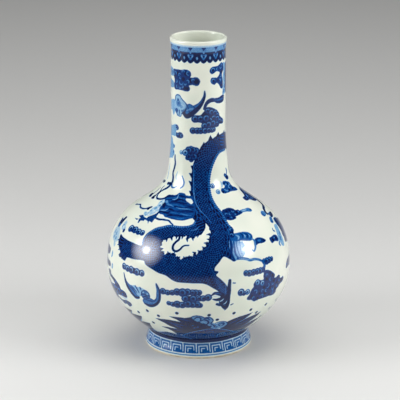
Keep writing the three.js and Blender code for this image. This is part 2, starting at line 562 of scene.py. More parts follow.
slip_ring("foot_seam_slip", "foot_luting_slip", foot_height, recess_radius, recess_radius)
for name, node, z in (("belly_seam_slip", "belly_luting_slip", belly_height),
                      ("neck_seam_slip", "neck_luting_slip", neck_seam_height)):
    slip_ring(name, node, z, inner_radius(z - half_slip), inner_radius(z + half_slip))

# The lower half of the belly: a deep thrown bowl, 7 mm thick at its seat and 5 mm at its rim, glazed
# in and out. Its floor closes the foot ring from above.
belly_columns = 1120
floor_thickness = 8
floor_fillet = (16, 12)
inside_spacing = 5


def inside(low, high):
    """The inside of the wall from the top down, moved in square to the outside."""
    z = np.linspace(high, low, max(3, round((tape_at(high) - tape_at(low)) / inside_spacing)))
    radius, slope = outline(z)
    lean = np.hypot(1, slope)
    points = np.column_stack([radius - wall_at(z) / lean, z + wall_at(z) * slope / lean])
    points = points[(points[:, 1] > low + 1) & (points[:, 1] < high - 1)]
    return np.vstack([(inner_radius(high), high), points, (inner_radius(low), low)])


def bottom_seam(start, radius, z):
    """Along the slip from inside to the glaze, and round the glaze's edge, at a section's lower end."""
    return corners((start, z + half_slip), (radius - skin, z + half_slip), (radius - skin, z), (radius, z))


def top_seam(radius, z):
    return corners((radius, z), (radius - skin, z), (radius - skin, z - half_slip),
                   (inner_radius(z - half_slip), z - half_slip))


lower_wall = Wall(foot_height, belly_height, belly_columns)
under = foot_height + half_slip
floor_top = under + floor_thickness
bowl = inside(under, belly_height - half_slip)
bowl = bowl[bowl[:, 1] > floor_top + floor_fillet[1]]
down = bowl[-1] - bowl[-2]
fillet_corner = bowl[-1] + down * (floor_top - bowl[-1][1]) / down[1]
fillet_end = fillet_corner - (floor_fillet[0], 0)
fillet = [(1 - t) ** 2 * bowl[-1] + 2 * t * (1 - t) * fillet_corner + t * t * fillet_end
          for t in np.linspace(0, 1, 6)]
lower_wall.piece, lower_wall.first_vertex = turned("lower_body_glazed", [
    stretch([(0, under), (recess_radius / 2, under), (recess_radius, under)]),
    *bottom_seam(recess_radius, foot_top_radius, foot_height),
    lower_wall.run(),
    *top_seam(lower_wall.radii[-1], belly_height),
    stretch([*bowl, *fillet[1:], (fillet_end[0] / 2, floor_top), (0, floor_top)]),
], belly_columns, [glaze])
seat(lower_wall.piece, "lower_body")

# The upper half of the belly: a second bowl, thrown upside down and turned over onto the first. It
# narrows through the shoulder to the opening that the neck is stuck on.
upper_wall = Wall(belly_height, neck_seam_height, belly_columns)
upper_wall.piece, upper_wall.first_vertex = turned("upper_body_glazed", [
    *bottom_seam(inner_radius(belly_height + half_slip), upper_wall.radii[0], belly_height),
    upper_wall.run(),
    *top_seam(upper_wall.radii[-1], neck_seam_height),
    stretch(inside(belly_height + half_slip, neck_seam_height - half_slip)),
], belly_columns, [glaze])
seat(upper_wall.piece, "upper_body")

# The neck: a tall thrown tube of porcelain, stuck on with slip, and glazed in and out. Its lip is
# rolled out and over to a round edge that stays white.
lip_heads = 13
neck_columns = 32 * lip_heads

neck_outer = Wall(neck_seam_height, lip_middle, neck_columns)
lip_turns = np.linspace(0, math.pi, 14)
lip_roll = np.column_stack([lip_radius - lip_round + lip_round * np.cos(lip_turns),
                            lip_middle + lip_round * np.sin(lip_turns)])
mouth = inside(neck_seam_height + half_slip, lip_start)
neck_outer.piece, neck_outer.first_vertex = turned("neck_glazed", [
    *bottom_seam(inner_radius(neck_seam_height + half_slip), neck_outer.radii[0], neck_seam_height),
    neck_outer.run(),
    stretch(lip_roll),
    stretch([lip_roll[-1], *mouth]),
], neck_columns, [glaze])
seat(neck_outer.piece, "neck")

# The band under the lip, painted in cobalt on the raw clay: dark scallops below a weak blue band, with
# a pale cloud head and a small pale leaf in them by turns.
lip_step = 360 / lip_heads
first_lip_head = -16.5
scallop_height = 366
lip_head_height = 372


def beside(place, across, up):
    """The place that lies some millimetres across and up the wall from another."""
    angle, height = place
    level = np.interp(tape_at(height) + up, tape, tape_heights)
    return angle + math.degrees(across / outline(height)[0]), level


def drawn(place, offsets):
    """Places that are given in millimetres across and up from one place."""
    return [beside(place, across, up) for across, up in offsets]


def spot(place, radius, tone):
    """A dot: the brush is set down and hardly moves."""
    stroke(drawn(place, [(0, -0.01), (0, 0.01)]), 2 * radius, tone)


for head in range(2 * lip_heads):
    tip = (first_lip_head + head * lip_step / 2, scallop_height)
    scallop = [(-4.2, 12), (-4.2, 1.4), (-2.4, -1.2), (0, -2.3), (2.4, -1.2), (4.2, 1.4), (4.2, 12)]
    fill(drawn(tip, scallop), 0.97)
# A weak band over their tops, and a paler one above it
band(377, 383.4, 0.4)
band(383.2, 385.2, 0.2)
for head in range(lip_heads):
    middle = (first_lip_head + head * lip_step, lip_head_height)
    fill(drawn(middle, [(-2.7, 10.8), (2.7, 10.8), (0, 6.6)]), 0.86, sharp=True)
    fill(drawn(middle, [(-1.7, 6), (-0.8, 3.8), (0, 2.6), (0.8, 3.8), (1.7, 6)]), 0.42)
    fill(drawn(middle, [(-3.7, 1.2), (-2.7, 3.1), (-1.2, 2.2), (0, 1.4), (1.2, 2.2), (2.7, 3.1), (3.7, 1.2),
                        (2.2, -1.8), (0, -4.6), (-2.2, -1.8)]), 0.54)
    stroke(drawn(middle, [(-3, 1.5), (-1.7, -1.2)]), [0.9, 1.4, 0.8], 0.32)
    stroke(drawn(middle, [(3, 1.5), (1.7, -1.2)]), [0.9, 1.4, 0.8], 0.34)
    spot(beside(middle, 0, -0.2), 1.1, 1)
    gap = (middle[0] + lip_step / 2, lip_head_height)
    fill(drawn(gap, [(-1.3, -2.1), (0, 0), (1.3, -2.1), (0, -4.3)]), 0.36)
    fill(drawn(gap, [(-1.2, 6), (0, 4.6), (1.2, 6)]), 0.44)
# The round of the lip stays white
band(lip_middle - 2.8, lip_middle + 1, 0)

# The sea round the foot of the belly, in cobalt: rocks like sheaves of spikes, foam that curls up
# between them, and a round wave in front. Drops of foam fly up as dots.


def turned_by(degrees, points):
    """The same places, further round the vase. What follows a place's angle stays as it is."""
    return [(angle + degrees, *rest) for angle, *rest in points]


def sea(turn, share):
    """One group of rocks, foam and wave, with its heights above the foot drawn at some share."""
    def at(points):
        return [(angle + turn, between(foot_height, height, share), *rest)
                for angle, height, *rest in points]

    # The low swell all along the foot, and the rocks to the left
    fill(at([(-62, 23), (-56, 26), (-48, 29.5), (-39.5, 32.5), (-33, 35.5), (-29, 37), (-22.5, 35.5),
             (-16, 34), (-8, 38), (4, 42), (14, 44), (22, 43), (30, 40), (38, 36), (48, 34), (55, 28),
             (62, 23)]), 0.88)
    fill(at([(4, 66.5), (-4, 69), (-9, 66.8), (-13, 67.4), (-20, 67.4), (-15, 63.5), (-12, 59.5), (-17, 61),
             (-22, 61.4), (-31.5, 60.5), (-28, 57.5), (-25, 55), (-22, 51), (-19, 49), (-16.5, 47),
             (-21, 47.4), (-25, 48.2), (-30, 47), (-25.5, 45), (-22.5, 42), (-21, 38.5), (-19, 34), (0, 40),
             (12, 46), (11, 52), (8, 58)]),
         0.96, sharp=True)
    for low, high in (((-5, 62), (-15, 66)), ((-9, 53), (-26, 59)), ((-12, 49), (-20, 56)),
                      ((-13, 43), (-25, 47))):
        stroke(at([low, high]), [0.6, 2, 0.6], 0.76)
    for place in at([(-0.5, 52), (-4, 54.5), (-3, 50.4)]):
        stroke(drawn(place, [(-0.8, 0), (0.8, 0.4)]), [1, 1.5, 1], 0.42)
    # The rocks to the right
    fill(at([(17, 48), (19, 56), (22, 59.5), (25.5, 62), (29, 63.7), (35, 64.7), (40, 66), (38, 61.5),
             (35, 57.5), (43.5, 60.2), (49.5, 61.7), (47.5, 56.5), (45, 52.5), (42, 47.5), (47, 50),
             (54, 51), (52, 46), (50, 39), (48, 33), (39, 32), (27, 39), (19, 44)]), 0.95, sharp=True)
    stroke(at([(29, 52), (33.5, 56), (38, 62)]), [0.5, 1.1, 1.3], 0.32)
    stroke(at([(37, 43), (41, 47.5), (46.5, 54)]), [0.6, 1.2, 1.4], 0.2)
    for low, high in (((22, 53), (33, 62)), ((30, 48), (43, 57)), ((36, 40), (49, 48))):
        stroke(at([low, high]), [0.5, 1.6, 0.5], 0.78)
    # The foam: dark lines that curl over a weak wash
    fill(at([(-4.5, 67.5), (-3.5, 70), (-1.5, 71), (2, 70), (4, 68), (6.5, 68.5), (9, 66), (10.5, 63),
             (10, 59.5), (12.5, 57), (15.5, 59.5), (19.5, 58.5), (21.5, 54.5), (20, 50), (16, 48.5),
             (10, 50), (7, 55), (2, 59), (-2, 63)]), 0.4)
    for line, widths in (([(-4, 64), (-4.8, 68), (-2, 70.7), (2, 69.8), (4, 67.8), (7, 68.4), (9.6, 65),
                           (10.2, 62), (9, 59), (9.4, 56.6), (11.5, 54), (12, 51)], 1.3),
                         ([(-3, 65), (-1, 68.4), (1.6, 67), (1.4, 63.6)], [1, 2, 1.4]),
                         ([(1.4, 62.6), (4, 64.4), (6.6, 62), (7, 58.6), (5.4, 56.4), (3.6, 58)],
                          [1, 2.2, 2.2, 1.4]),
                         ([(4, 66.6), (6.4, 66.4), (7.6, 64)], [1, 2, 1]),
                         ([(12, 58), (15.6, 59.9), (20, 58.4), (21.7, 54.5), (20, 50)], 1)):
        stroke(at(line), widths, 0.94)
    for angle, height, radius, tone in at([(17, 55, 3.9, 0.93), (17, 55, 3, 0.36), (12, 53.4, 1.3, 0.97),
                                           (13.6, 51, 1.2, 0.8), (0.4, 60.4, 1.6, 0.96),
                                           (9, 53, 1.6, 0.9)]):
        spot((angle, height), radius, tone)
    stroke(at([(15.6, 54), (17, 56.4), (18.6, 55), (17.4, 53.6)]), [0.7, 1.3, 0.8], 0.9)
    # The round wave in front, with small scrolls in it
    dome = at([(-15.5, 32.5), (-9, 39), (-5, 42.2), (1, 45.5), (7, 47.7), (12.5, 48.2), (19, 45.8),
               (27, 40.5), (35, 34.5), (43, 29)])
    fill([*dome, (turn + 36, foot_height - 1), (turn + 2, foot_height - 1)], 0.88)
    stroke(dome, [0.9, 1.3, 1.4, 1.5, 1.2], 0.4)
    stroke(at([(-15.5, 32.5), (-11, 29.4), (-6.5, 26.4), (1, 24)]), [1, 1.3, 0.8], 0.4)
    for scroll, tone in (([(19.6, 27.5), (18, 34), (20.5, 37.4), (24, 36.4), (28, 32)], 0.34),
                         ([(22, 32.6), (24.6, 33.6), (26.5, 30)], 0.5),
                         ([(7, 41), (10, 43.6), (13, 41), (11, 39)], 0.62),
                         ([(0, 36), (3, 39), (6, 36.4), (4, 34.6)], 0.62),
                         ([(9, 32), (12, 35), (15, 32), (13, 30)], 0.58)):
        stroke(at(scroll), [0.6, 1.2, 0.8], tone)


for turn, share in ((0, 1), (97, 0.85), (182, 1), (265, 0.87)):
    sea(turn, share)
band(foot_height - 3.5, foot_height + 2.5, 0.95)

drops = [(-14, 73.5), (7, 71.5), (24, 71), (37, 71), (51, 71.5), (65.5, 69.5), (-36, 70), (-28, 65.5),
         (-46, 63), (13, 63.5), (44, 63.5), (61, 60), (-36, 51.2), (54, 52)]
for place in [*drops, *turned_by(180, drops)]:
    spot(place, 2.1, 1)

# The clouds that drift over the belly and the neck: heaps of round lobes, each one a ring with a
# curl in it. Some are washed in almost black, some in a weak blue.
deep = {"edge": 0.98, "wash": 0.8, "curl": 0.42, "core": 0.98}
soft = {"edge": 0.86, "wash": 0.48, "curl": 0.22, "core": 0.93}
faint = {"edge": 0.6, "wash": 0.34, "curl": 0.14, "core": 0.58}

# A lobe's dark rim in millimetres. The other three are shares of its radius: its dark core, how far
# off the next lobe is still joined to it, and how wide the neck between the two is.
lobe_rim = 0.9
lobe_core = 0.32
lobe_neck_reach = 3.6
lobe_neck_width = 1.6
# The brush is pressed down in the middle of a curl
curl_widths = [0.7, 1.4, 0.7]
# How much paler than the wash a curl in a dense mass is
curl_gain = 0.42


def round_of(place, radius, turns, side=1):
    """Places round a middle, where the turns in radians are from its right."""
    return drawn(place, np.column_stack([side * radius * np.cos(turns), radius * np.sin(turns)]))


def cloud(lobes, edge, wash, curl, core):
    """Lobes as (angle, height, radius). Each covers a part of those before it, and dark necks join them."""
    for (angle, height, radius), (next_angle, next_height, next_radius) in zip(lobes, lobes[1:]):
        narrow = min(radius, next_radius)
        run = math.radians(next_angle - angle) * outline(height)[0]
        if math.hypot(run, tape_at(next_height) - tape_at(height)) < lobe_neck_reach * narrow:
            stroke([(angle, height), (next_angle, next_height)], lobe_neck_width * narrow, edge)
    for number, (angle, height, radius) in enumerate(lobes):
        spot((angle, height), radius, edge)
        spot((angle, height), radius - lobe_rim, wash)
        side = (1, -1, -1)[number % 3]
        away = radius * np.linspace(0.64, 0.5, 7)
        stroke(round_of((angle, height), away, np.linspace(0.4, 3.7, 7), side), curl_widths, curl)
        spot((angle, height), lobe_core * radius, core)


def heap(tone, places, darks, lights):
    """A dense mass of cloud: one dark wash, in which the lobes only show as dark spots and light curls."""
    fill(places, tone)
    for angle, height, radius in darks:
        spot((angle, height), radius, 0.99)
    for number, (angle, height, radius) in enumerate(lights):
        turns = np.linspace(0, 3.6, 6) + 1.3 * number
        stroke(round_of((angle, height), radius, turns), [0.8, 1.5, 0.8], tone - curl_gain)


# The curls all over a mass: how far apart they are in a row and from row to row, their size, and how
# far they stay from its edge
curl_pitch = 7.5
curl_row_pitch = 0.87 * curl_pitch
curl_radius = 2.3
curl_margin = 2.7


def curled(tone, places):
    """A mass of cloud with curls all over it, in rows like bricks."""
    fill(places, tone)
    path = flowing(places, True)
    degree = math.radians(outline(path[:, 1])[0].mean())
    x, y = path[:, 0] * degree, tape_at(path[:, 1])
    for row, level in enumerate(np.arange(y.min() + 0.55 * curl_pitch, y.max(), curl_row_pitch)):
        k = np.nonzero((y[1:] > level) != (y[:-1] > level))[0]
        crossings = between(x[k], x[k + 1], (level - y[k]) / (y[k + 1] - y[k]))
        for across in np.arange(x.min() + (0.5 + row % 2 / 2) * curl_pitch, x.max(), curl_pitch):
            within = np.count_nonzero(crossings > across) % 2
            if within and np.hypot(x - across, y - level).min() > curl_margin:
                place = (across / degree, np.interp(level, tape, tape_heights))
                turns = np.linspace(0, 4, 6) + 1.7 * row
                stroke(round_of(place, curl_radius, turns), curl_widths,
                       tone - curl_gain if tone > 0.5 else tone + 0.24)
                spot(place, 0.9, min(tone + 0.3, 0.99))


# The masses on the right of the belly, on the shoulder, by the foot of the neck and under the lip
for turn in (0, 180):
    for tone, places, darks, lights in (
            (0.87, [(45, 119), (47.5, 119), (50, 117), (53, 113), (55, 109), (54.5, 105.5), (56.5, 105),
                    (58, 106), (60, 106), (61, 102), (63, 100.5), (66, 101), (67, 98), (66, 95), (62, 93.5),
                    (60, 90.5), (58, 88.5), (58, 85), (56.5, 83), (53, 83), (50, 84), (47, 84), (43, 84),
                    (40, 83.5), (37.5, 83), (35, 86), (32.5, 87), (31.5, 88.5), (32, 91.5), (33, 93.5),
                    (34, 98.5), (35, 101), (36, 103), (36, 106.5), (37, 109), (39, 110.5), (41, 108.5),
                    (42, 108), (44, 109), (44, 113.5)],
             [(50, 115, 1.6), (52.5, 110, 2), (47, 108, 2.2), (54, 102.5, 2), (60.5, 103.5, 1.6),
              (63.5, 97.5, 2), (58, 98, 2), (50.5, 94.5, 2), (56, 91, 2), (46, 90, 2), (41, 92, 2),
              (50.5, 86, 1.8), (40, 86, 1.8), (35, 90.5, 1.8), (44.5, 98, 2)],
             [(47, 112.5, 1.8), (50.5, 106, 1.8), (53, 99.5, 1.8), (48, 99, 2.6), (37.5, 95.5, 2.6),
              (43.5, 94.5, 1.8), (47, 93, 1.8), (53.5, 93, 2.2), (53.5, 87.5, 1.8), (43.5, 87.5, 2),
              (36.5, 88, 1.6), (58, 94, 1.6), (60.5, 100, 1.4)]),
            (0.84, [(57, 152.5), (60, 153), (65, 153), (67.5, 150.5), (67, 145), (62, 147), (58, 146.5),
                    (57, 149)],
             [(60.5, 149, 2), (65, 149, 2)], [(62.8, 150, 1)]),
            (0.87, [(30.5, 189), (34, 189.5), (38, 189), (41, 187.5), (41.5, 186.5), (45.5, 186),
                    (47, 184.5), (48.5, 183), (44, 182), (40, 181.5), (37, 181), (37, 180), (33.5, 179),
                    (29.5, 179), (25, 181), (24, 185), (27, 188.5)],
             [(31, 187, 1.6), (35, 187.4, 1.4), (41.5, 184.4, 1.5), (29, 181.5, 1.4), (35, 180.7, 1.2)],
             [(29, 184.4, 1.6), (33.4, 184.2, 1.6), (38, 186, 1.4), (38, 183.2, 1.2), (32, 180.9, 1),
              (44.6, 184.2, 1)]),
            (0.76, [(47.5, 215.5), (53, 215.5), (57.5, 214.5), (65, 212), (66.5, 209), (69, 206.5),
                    (76, 203.5), (77, 201), (65, 202), (58, 203), (50, 203), (43, 203), (39, 204),
                    (38, 206.5), (40, 208.5), (46.5, 208.5), (49, 211), (46, 212.5)],
             [(50, 213, 1.2), (57.5, 211.5, 1.2), (65.5, 205, 1.6), (55, 205, 1.6), (41, 204.8, 1.5)],
             [(53, 210.6, 1.6), (59, 208, 1.6), (50, 205.6, 1.4), (61.5, 210.5, 1.2), (45.5, 205.8, 1.2)]),
            (0.87, [(57.5, 224), (62.5, 222), (68.5, 218.5), (68, 216.5), (61, 216), (58, 218.5),
                    (54.5, 222.5)],
             [(62, 219, 1.4)], [(59.5, 220.8, 0.9)]),
            (0.84, [(-64, 352.5), (-48, 354), (-36, 354.5), (-30, 355.5), (-21.5, 355), (-16.5, 353),
                    (-15, 349), (-17, 346.5), (-12, 346), (-7, 347), (-1.5, 346.5), (3, 343.5), (3.5, 341),
                    (0, 337), (-5, 336.5), (-12, 337.5), (-20, 336), (-17.5, 333), (-19, 330), (-25, 329),
                    (-34, 329.5), (-46, 329.5), (-58, 329.5), (-61, 334), (-58, 340), (-62, 346)],
             [(-48, 349.5, 2), (-26.5, 350.5, 2.6), (-16.5, 342.4, 2.6), (-4, 341.8, 3.2),
              (-33, 343.6, 2.4), (-29.5, 332.5, 2.2), (-23.5, 332.5, 2), (-57, 345, 1.6)],
             [(-33, 352.4, 1.8), (-21, 351, 2.2), (-38, 339.2, 2.8), (-52, 339.5, 1.6), (-22.5, 341, 1.8),
              (-11, 343, 1.6), (-50, 333.2, 1.4), (-41.5, 332.8, 1.5), (-35, 334, 1.2), (-55, 349, 1.8),
              (-42, 348, 1.8), (-40, 344.4, 1.2), (-28, 338, 1.3)]),
            (0.82, [(24, 354.5), (28.5, 358), (35, 358.5), (43.5, 358.5), (52, 361), (56.5, 362),
                    (62, 359.5), (64.5, 353), (58, 347.5), (60, 341.5), (62, 336), (60, 329.5), (53, 331),
                    (48.5, 335), (41, 338.5), (36, 336.5), (29.5, 338), (26, 341), (28, 345), (36, 345),
                    (42, 344.5), (49, 348), (50, 350.5), (41, 352.5), (35, 351), (29.5, 350), (25, 352)],
             [(31.5, 354.6, 1.4), (33, 341.5, 1.5), (46, 341, 1.2), (56, 351, 1.5), (56, 334, 1.4)],
             [(32, 354.3, 2.5), (43.5, 355, 1.5), (53.5, 356.5, 1.6), (53, 346, 1.5), (51, 340.5, 1.5),
              (33, 341, 2.5), (57, 359.5, 1)]),
            (0.88, [(-54, 275.5), (-48, 275.5), (-42, 277), (-36, 276), (-33, 273.5), (-34.5, 271),
                    (-40.5, 269.5), (-46.5, 269.5), (-53, 270.5), (-55, 272.5)],
             [(-42.5, 272.5, 1.2)], [(-48, 273, 1.3), (-38, 273, 1.3)]),
            (0.86, [(13, 309), (24, 309.5), (33, 307.5), (41, 304.5), (47, 301), (50, 297), (56, 294),
                    (63, 291), (64, 288), (60, 286), (50, 286.5), (47, 284), (40, 283.5), (33, 284),
                    (20, 284.5), (11, 285), (9, 289), (5, 291), (0, 291.5), (-8, 291.5), (-11, 295.5),
                    (-8, 299.5), (2, 300), (10, 300), (13, 303)], [], [])):
        heap(tone, turned_by(turn, places), turned_by(turn, darks), turned_by(turn, lights))

# The lines of lobes under the trunk, at the left of the belly and round the neck
bright = {"edge": 0.96, "wash": 0.78, "curl": 0.2, "core": 0.97}
both_sides = [
    (deep, [(1, 86, 3.5), (-0.5, 87, 4.5), (-18.5, 87, 3), (-16, 86, 3.5), (-3.5, 87, 4.5), (-13, 86.5, 5),
            (-10, 86, 4.5), (-6.5, 88, 5.5)]),
    (deep, [(0.5, 103, 3.5), (-1.5, 103, 4), (-22, 102, 4), (-19, 101, 3.5), (-16, 101.5, 3.5),
            (-13, 103, 4.5), (-3.5, 103, 4), (-6.5, 103.5, 4.5), (-9.5, 102.5, 5.5)]),
    (deep, [(-8, 95, 4.5), (-3, 95, 5), (0.5, 95.5, 4), (3, 95.5, 4), (6, 96.5, 4.5)]),
    (deep, [(44, 121, 3.6), (41.5, 121, 4), (39, 121, 4), (36, 121, 4), (33, 121, 4), (30.5, 122, 3.6)]),
    (deep, [(53, 130, 3), (50.5, 130, 4), (48, 129.7, 4.4), (45.5, 130.5, 3.4)]),
    (soft, [(43, 104.5, 4), (39, 107, 4), (31.5, 98, 3.6)]),
    (bright, [(29, 97, 3), (27, 99, 4.6)]),
    (bright, [(-45, 163, 3.6), (-49, 163, 4.1), (-53.5, 163.5, 4.6), (-59, 163, 4.7)]),
    (bright, [(-37, 119.5, 4), (-41, 119.5, 4.5), (-46, 120, 4.6), (-49.5, 120, 4), (-53, 121, 4)]),
    (faint, [(32, 206, 3)]),
    (soft, [(25, 213, 3)]),
    (deep, [(-7, 295.5, 4.5), (5, 295.5, 4.5), (20, 305, 4), (28.5, 303, 4), (37.5, 301.5, 4),
            (43.5, 298, 3.5), (34, 295, 4.5), (44, 294, 4), (24.5, 293, 4.5), (16.5, 296, 5),
            (51, 290.5, 3), (61, 288.5, 2.5), (42.5, 287.5, 3.5), (33, 289, 4.5), (22.5, 288, 4.5),
            (13, 287, 4)]),
    (deep, [(-11.5, 281, 4), (-2, 281, 4), (5, 281, 4), (14, 281, 4), (22.5, 281, 3.5), (30, 281, 3.5),
            (34, 281, 3)]),
]
for style, lobes in both_sides:
    cloud(lobes, **style)
    cloud(turned_by(180, lobes), **style)

# Their tails, and the ribbons that join them
for turn in (0, 180):
    for tone, places in (
            (0.9, [(66, 321), (56, 321), (48, 319.5), (37, 319.5), (29, 320.5), (20, 319), (15, 316),
                   (11.5, 311.5), (10.5, 307), (13, 306.5), (16, 309), (20, 313), (26, 315), (34, 315.5),
                   (43, 313), (58, 312.5), (66, 314)]),
            (0.34, [(-92, 283), (-76, 281.5), (-59, 285), (-52, 285.5), (-47, 283.5), (-45.5, 281),
                    (-50, 279), (-53.5, 277.5), (-54, 276), (-53.5, 272.5), (-56, 270.5), (-64, 270),
                    (-92, 270)]),
            (0.34, [(-92, 268), (-69, 267), (-64, 261), (-57, 259), (-57.5, 256), (-62, 254.5), (-57, 251),
                    (-57.5, 247), (-61, 245), (-62.5, 242.5), (-68, 242), (-92, 240)]),
            (0.5, [(47, 185), (53, 185), (60, 184.5), (62.5, 183), (62, 181.5), (59.5, 181), (53.5, 182.5),
                   (49, 183)]),
            (0.24, [(42.5, 217), (45.5, 214.5), (45, 211), (41, 209.5), (42, 212), (42, 214.5)])):
        fill(turned_by(turn, places), tone)
    for ribbon, widths, tone in (
            ([(60, 317), (45, 316.5), (34, 318)], [2.6, 2, 0.5], 0.62),
            ([(-55, 284), (-51, 284.2), (-48, 282.6), (-47.4, 280.8), (-50, 279.6)], [1.4, 2.2, 2.2, 1.6],
             0.92),
            ([(-53, 281.6), (-51.6, 281.4)], [2, 1.6], 0.9),
            ([(-59.5, 258.5), (-59, 256.5)], [1.6, 2, 1], 0.75),
            ([(-61, 251.5), (-60.4, 249.5)], [1.4, 1.8, 1], 0.66),
            ([(48.5, 184.2), (52, 184), (55.5, 183.8)], [0.8, 1.6, 0.8], 0.2),
            ([(60.6, 182.8), (61.6, 182.4)], [2.4, 2], 0.85),
            ([(44.5, 131), (45.5, 127.5), (45.2, 124), (44, 120.5)], [4, 4, 4, 3], 0.8),
            ([(45, 129), (45.4, 126), (45.1, 123)], [0.6, 1.3, 0.6], 0.45),
            ([(65.5, 229), (67, 226.5), (66, 224), (63, 221.5)], [1.4, 2.2, 2.2, 1.2], 0.7),
            ([(68, 143.5), (66.5, 141.5), (67.5, 139)], [2, 3.4, 2], 0.5),
            ([(67, 159.5), (66.5, 157.5), (68, 155.8)], [1.4, 2.2, 1.6], 0.8)):
        stroke(turned_by(turn, ribbon), widths, tone)

# On both edges of the view the back's own drawing begins: weak washes first, then what is dark
for tone, places in (
        # The right edge, from the shoulder down
        (0.45, [(73.5, 177), (76.5, 175.5), (76, 173), (72, 172), (69, 172.5), (68, 174.5), (69.5, 176)]),
        (0.5, [(76, 169), (79, 167.5), (77, 165.5), (75, 163), (71, 164.5), (72, 167)]),
        (0.3, [(73, 161), (78, 159), (77, 156.5), (76, 152), (75.5, 148.5), (75.5, 145), (75, 140),
               (73.5, 135.5), (70, 137.5), (68.5, 142.5), (67.5, 147), (68.5, 150.5), (70, 155),
               (71, 158.5)]),
        (0.88, [(84, 198.5), (92, 200), (100, 197), (104, 190), (98, 184), (92, 183), (85, 185),
                (83, 186.5), (79, 188.5), (71, 189.5), (69, 191.5), (70, 193), (77.5, 193), (81, 194.5)]),
        (0.94, [(96, 184), (93, 181), (90, 178.5), (86, 178), (80, 177), (77, 175), (76.5, 173.5),
                (76, 171.5), (80, 171), (79, 173), (82, 175), (89, 176), (95, 178), (100, 182)]),
        (0.93, [(89, 169.5), (86, 167), (79, 167.5), (79, 171), (87, 170.5)]),
        (0.92, [(79.5, 165), (78, 162), (78.5, 158), (79, 153.5), (79, 150), (78, 146), (79, 142),
                (78, 139), (79, 137), (86, 135), (92, 139), (97, 150), (95, 158), (89, 161.5),
                (86.5, 163.5)]),
        (0.92, [(92, 121), (84, 119), (74, 116.5), (72, 113), (71, 109), (73, 107), (77, 107.5),
                (82.5, 107), (92, 108)]),
        # The neck's edges. Their weak washes are clouds, kept pale as a painted reflection of the soft
        # boxes down the neck's sides.
        (0.32, [(62, 361), (75, 359.5), (96, 358), (96, 323), (74, 322.5), (61.5, 321), (61.5, 329.5),
                (64, 336), (61, 342), (65, 353)]),
        (0.9, [(77, 360), (96, 358), (96, 323), (77, 323)]),
        (0.9, [(84, 229), (92, 229), (98, 214), (90, 212), (86, 219)]),
        (0.36, [(-96, 354), (-64, 353), (-60, 346), (-70, 344), (-96, 346)]),
        (0.36, [(-96, 338), (-64, 338), (-60, 332), (-70, 329.5), (-96, 330)]),
        # The left edge, from the shoulder down
        (0.2, [(-72, 166.5), (-68.5, 165.5), (-68, 163), (-65, 160.5), (-69, 157), (-72, 159),
               (-72.5, 162.5)]),
        (0.93, [(-77.5, 169), (-79, 167), (-79, 163), (-78, 160), (-76, 159.5), (-75.5, 165),
                (-75.5, 168.5)]),
        (0.84, [(-83, 165), (-82, 161.5), (-81.5, 158.5), (-78.5, 155), (-77.5, 156), (-77, 160),
                (-79, 163), (-80, 165)]),
        (0.6, [(-81.5, 159), (-76, 160), (-77, 154.5), (-78.5, 154)]),
        (0.17, [(-82, 153), (-73, 157), (-69, 151), (-67.5, 145), (-72, 141), (-79, 143), (-82, 148)]),
        (0.22, [(-73, 142.5), (-70, 141), (-69, 138.5), (-70, 136), (-72, 137), (-73, 139.5)]),
        (0.35, [(-71, 131), (-69.5, 129), (-69.5, 124), (-71.5, 122), (-71.5, 127.5)]),
        (0.32, [(-69, 116), (-67.5, 115), (-68, 109), (-70, 110)]),
        (0.9, [(-95, 133), (-85, 131.5), (-77, 131), (-75, 129.5), (-75.5, 125), (-78, 122.5), (-88, 120),
               (-96, 122)]),
        (0.93, [(-90, 118), (-79, 116), (-73, 115), (-71.5, 112), (-73, 109), (-76.5, 108.5), (-90, 107),
                (-96, 112)]),
        (0.92, [(-77, 103), (-76, 99.5), (-74, 97), (-69, 95.5), (-66.5, 93), (-64, 90), (-59, 90),
                (-59, 93), (-62, 96.5), (-65, 98.5), (-68.5, 100), (-71, 101), (-71.5, 104.5),
                (-73, 105.5)]),
        (0.86, [(-64, 91.5), (-59, 93), (-57.5, 88.5), (-55.5, 88.5), (-53, 87), (-52, 83.5), (-52, 81),
                (-53.5, 79.5), (-56, 79), (-59, 79), (-62, 78.5), (-65, 77), (-68, 74), (-69.5, 71),
                (-74, 66), (-85, 64), (-95, 72), (-95, 88), (-85, 93), (-76, 91), (-73, 88.5),
                (-69, 89.5)]),
        (0.85, [(-76, 77), (-66, 75), (-62, 72.5), (-59.5, 73), (-55, 75), (-53, 75), (-50.5, 74),
                (-50, 71), (-51.5, 69), (-55, 66.5), (-56, 69), (-60.5, 67), (-62.5, 69), (-66, 71),
                (-72, 72)])):
    curled(tone, places)
for place, radius, tone in (
        ((70.5, 173), 1.6, 0.8), ((73.5, 164.5), 1.6, 0.8), ((72, 147), 1.8, 0.5), ((84, 191), 1.5, 0.42),
        ((88.5, 187), 1.4, 0.42), ((77, 191), 1.2, 0.5), ((91, 194), 1.5, 0.42), ((87, 195), 1.2, 0.98),
        ((-66, 157.5), 2.5, 0.85), ((-69.5, 160.5), 2, 0.12), ((-70, 85), 2, 0.99), ((-67, 82), 2, 0.99),
        ((-62, 84.5), 1.8, 0.99), ((-58.5, 84), 1.8, 0.99), ((-55.5, 85.5), 1.6, 0.99),
        ((-54, 81.5), 1.4, 0.99), ((-71, 79), 2, 0.98), ((-59, 71), 1.8, 0.98), ((-54.5, 72), 1.8, 0.98),
        ((-53, 70), 1.5, 0.98)):
    spot(place, radius, tone)
for place, radius in (((-60.3, 86.5), 1.4), ((-57, 81.8), 1.4), ((-64.5, 80.5), 1.4), ((-68.5, 77.5), 1.4),
                      ((-67, 86.5), 1.5), ((-56.8, 71), 1.1), ((-61, 71), 1.1)):
    stroke(drawn(place, [(radius, 0), (0, radius), (-radius, 0), (-0.5 * radius, -radius)]),
           [0.6, 1.3, 0.6], 0.45)
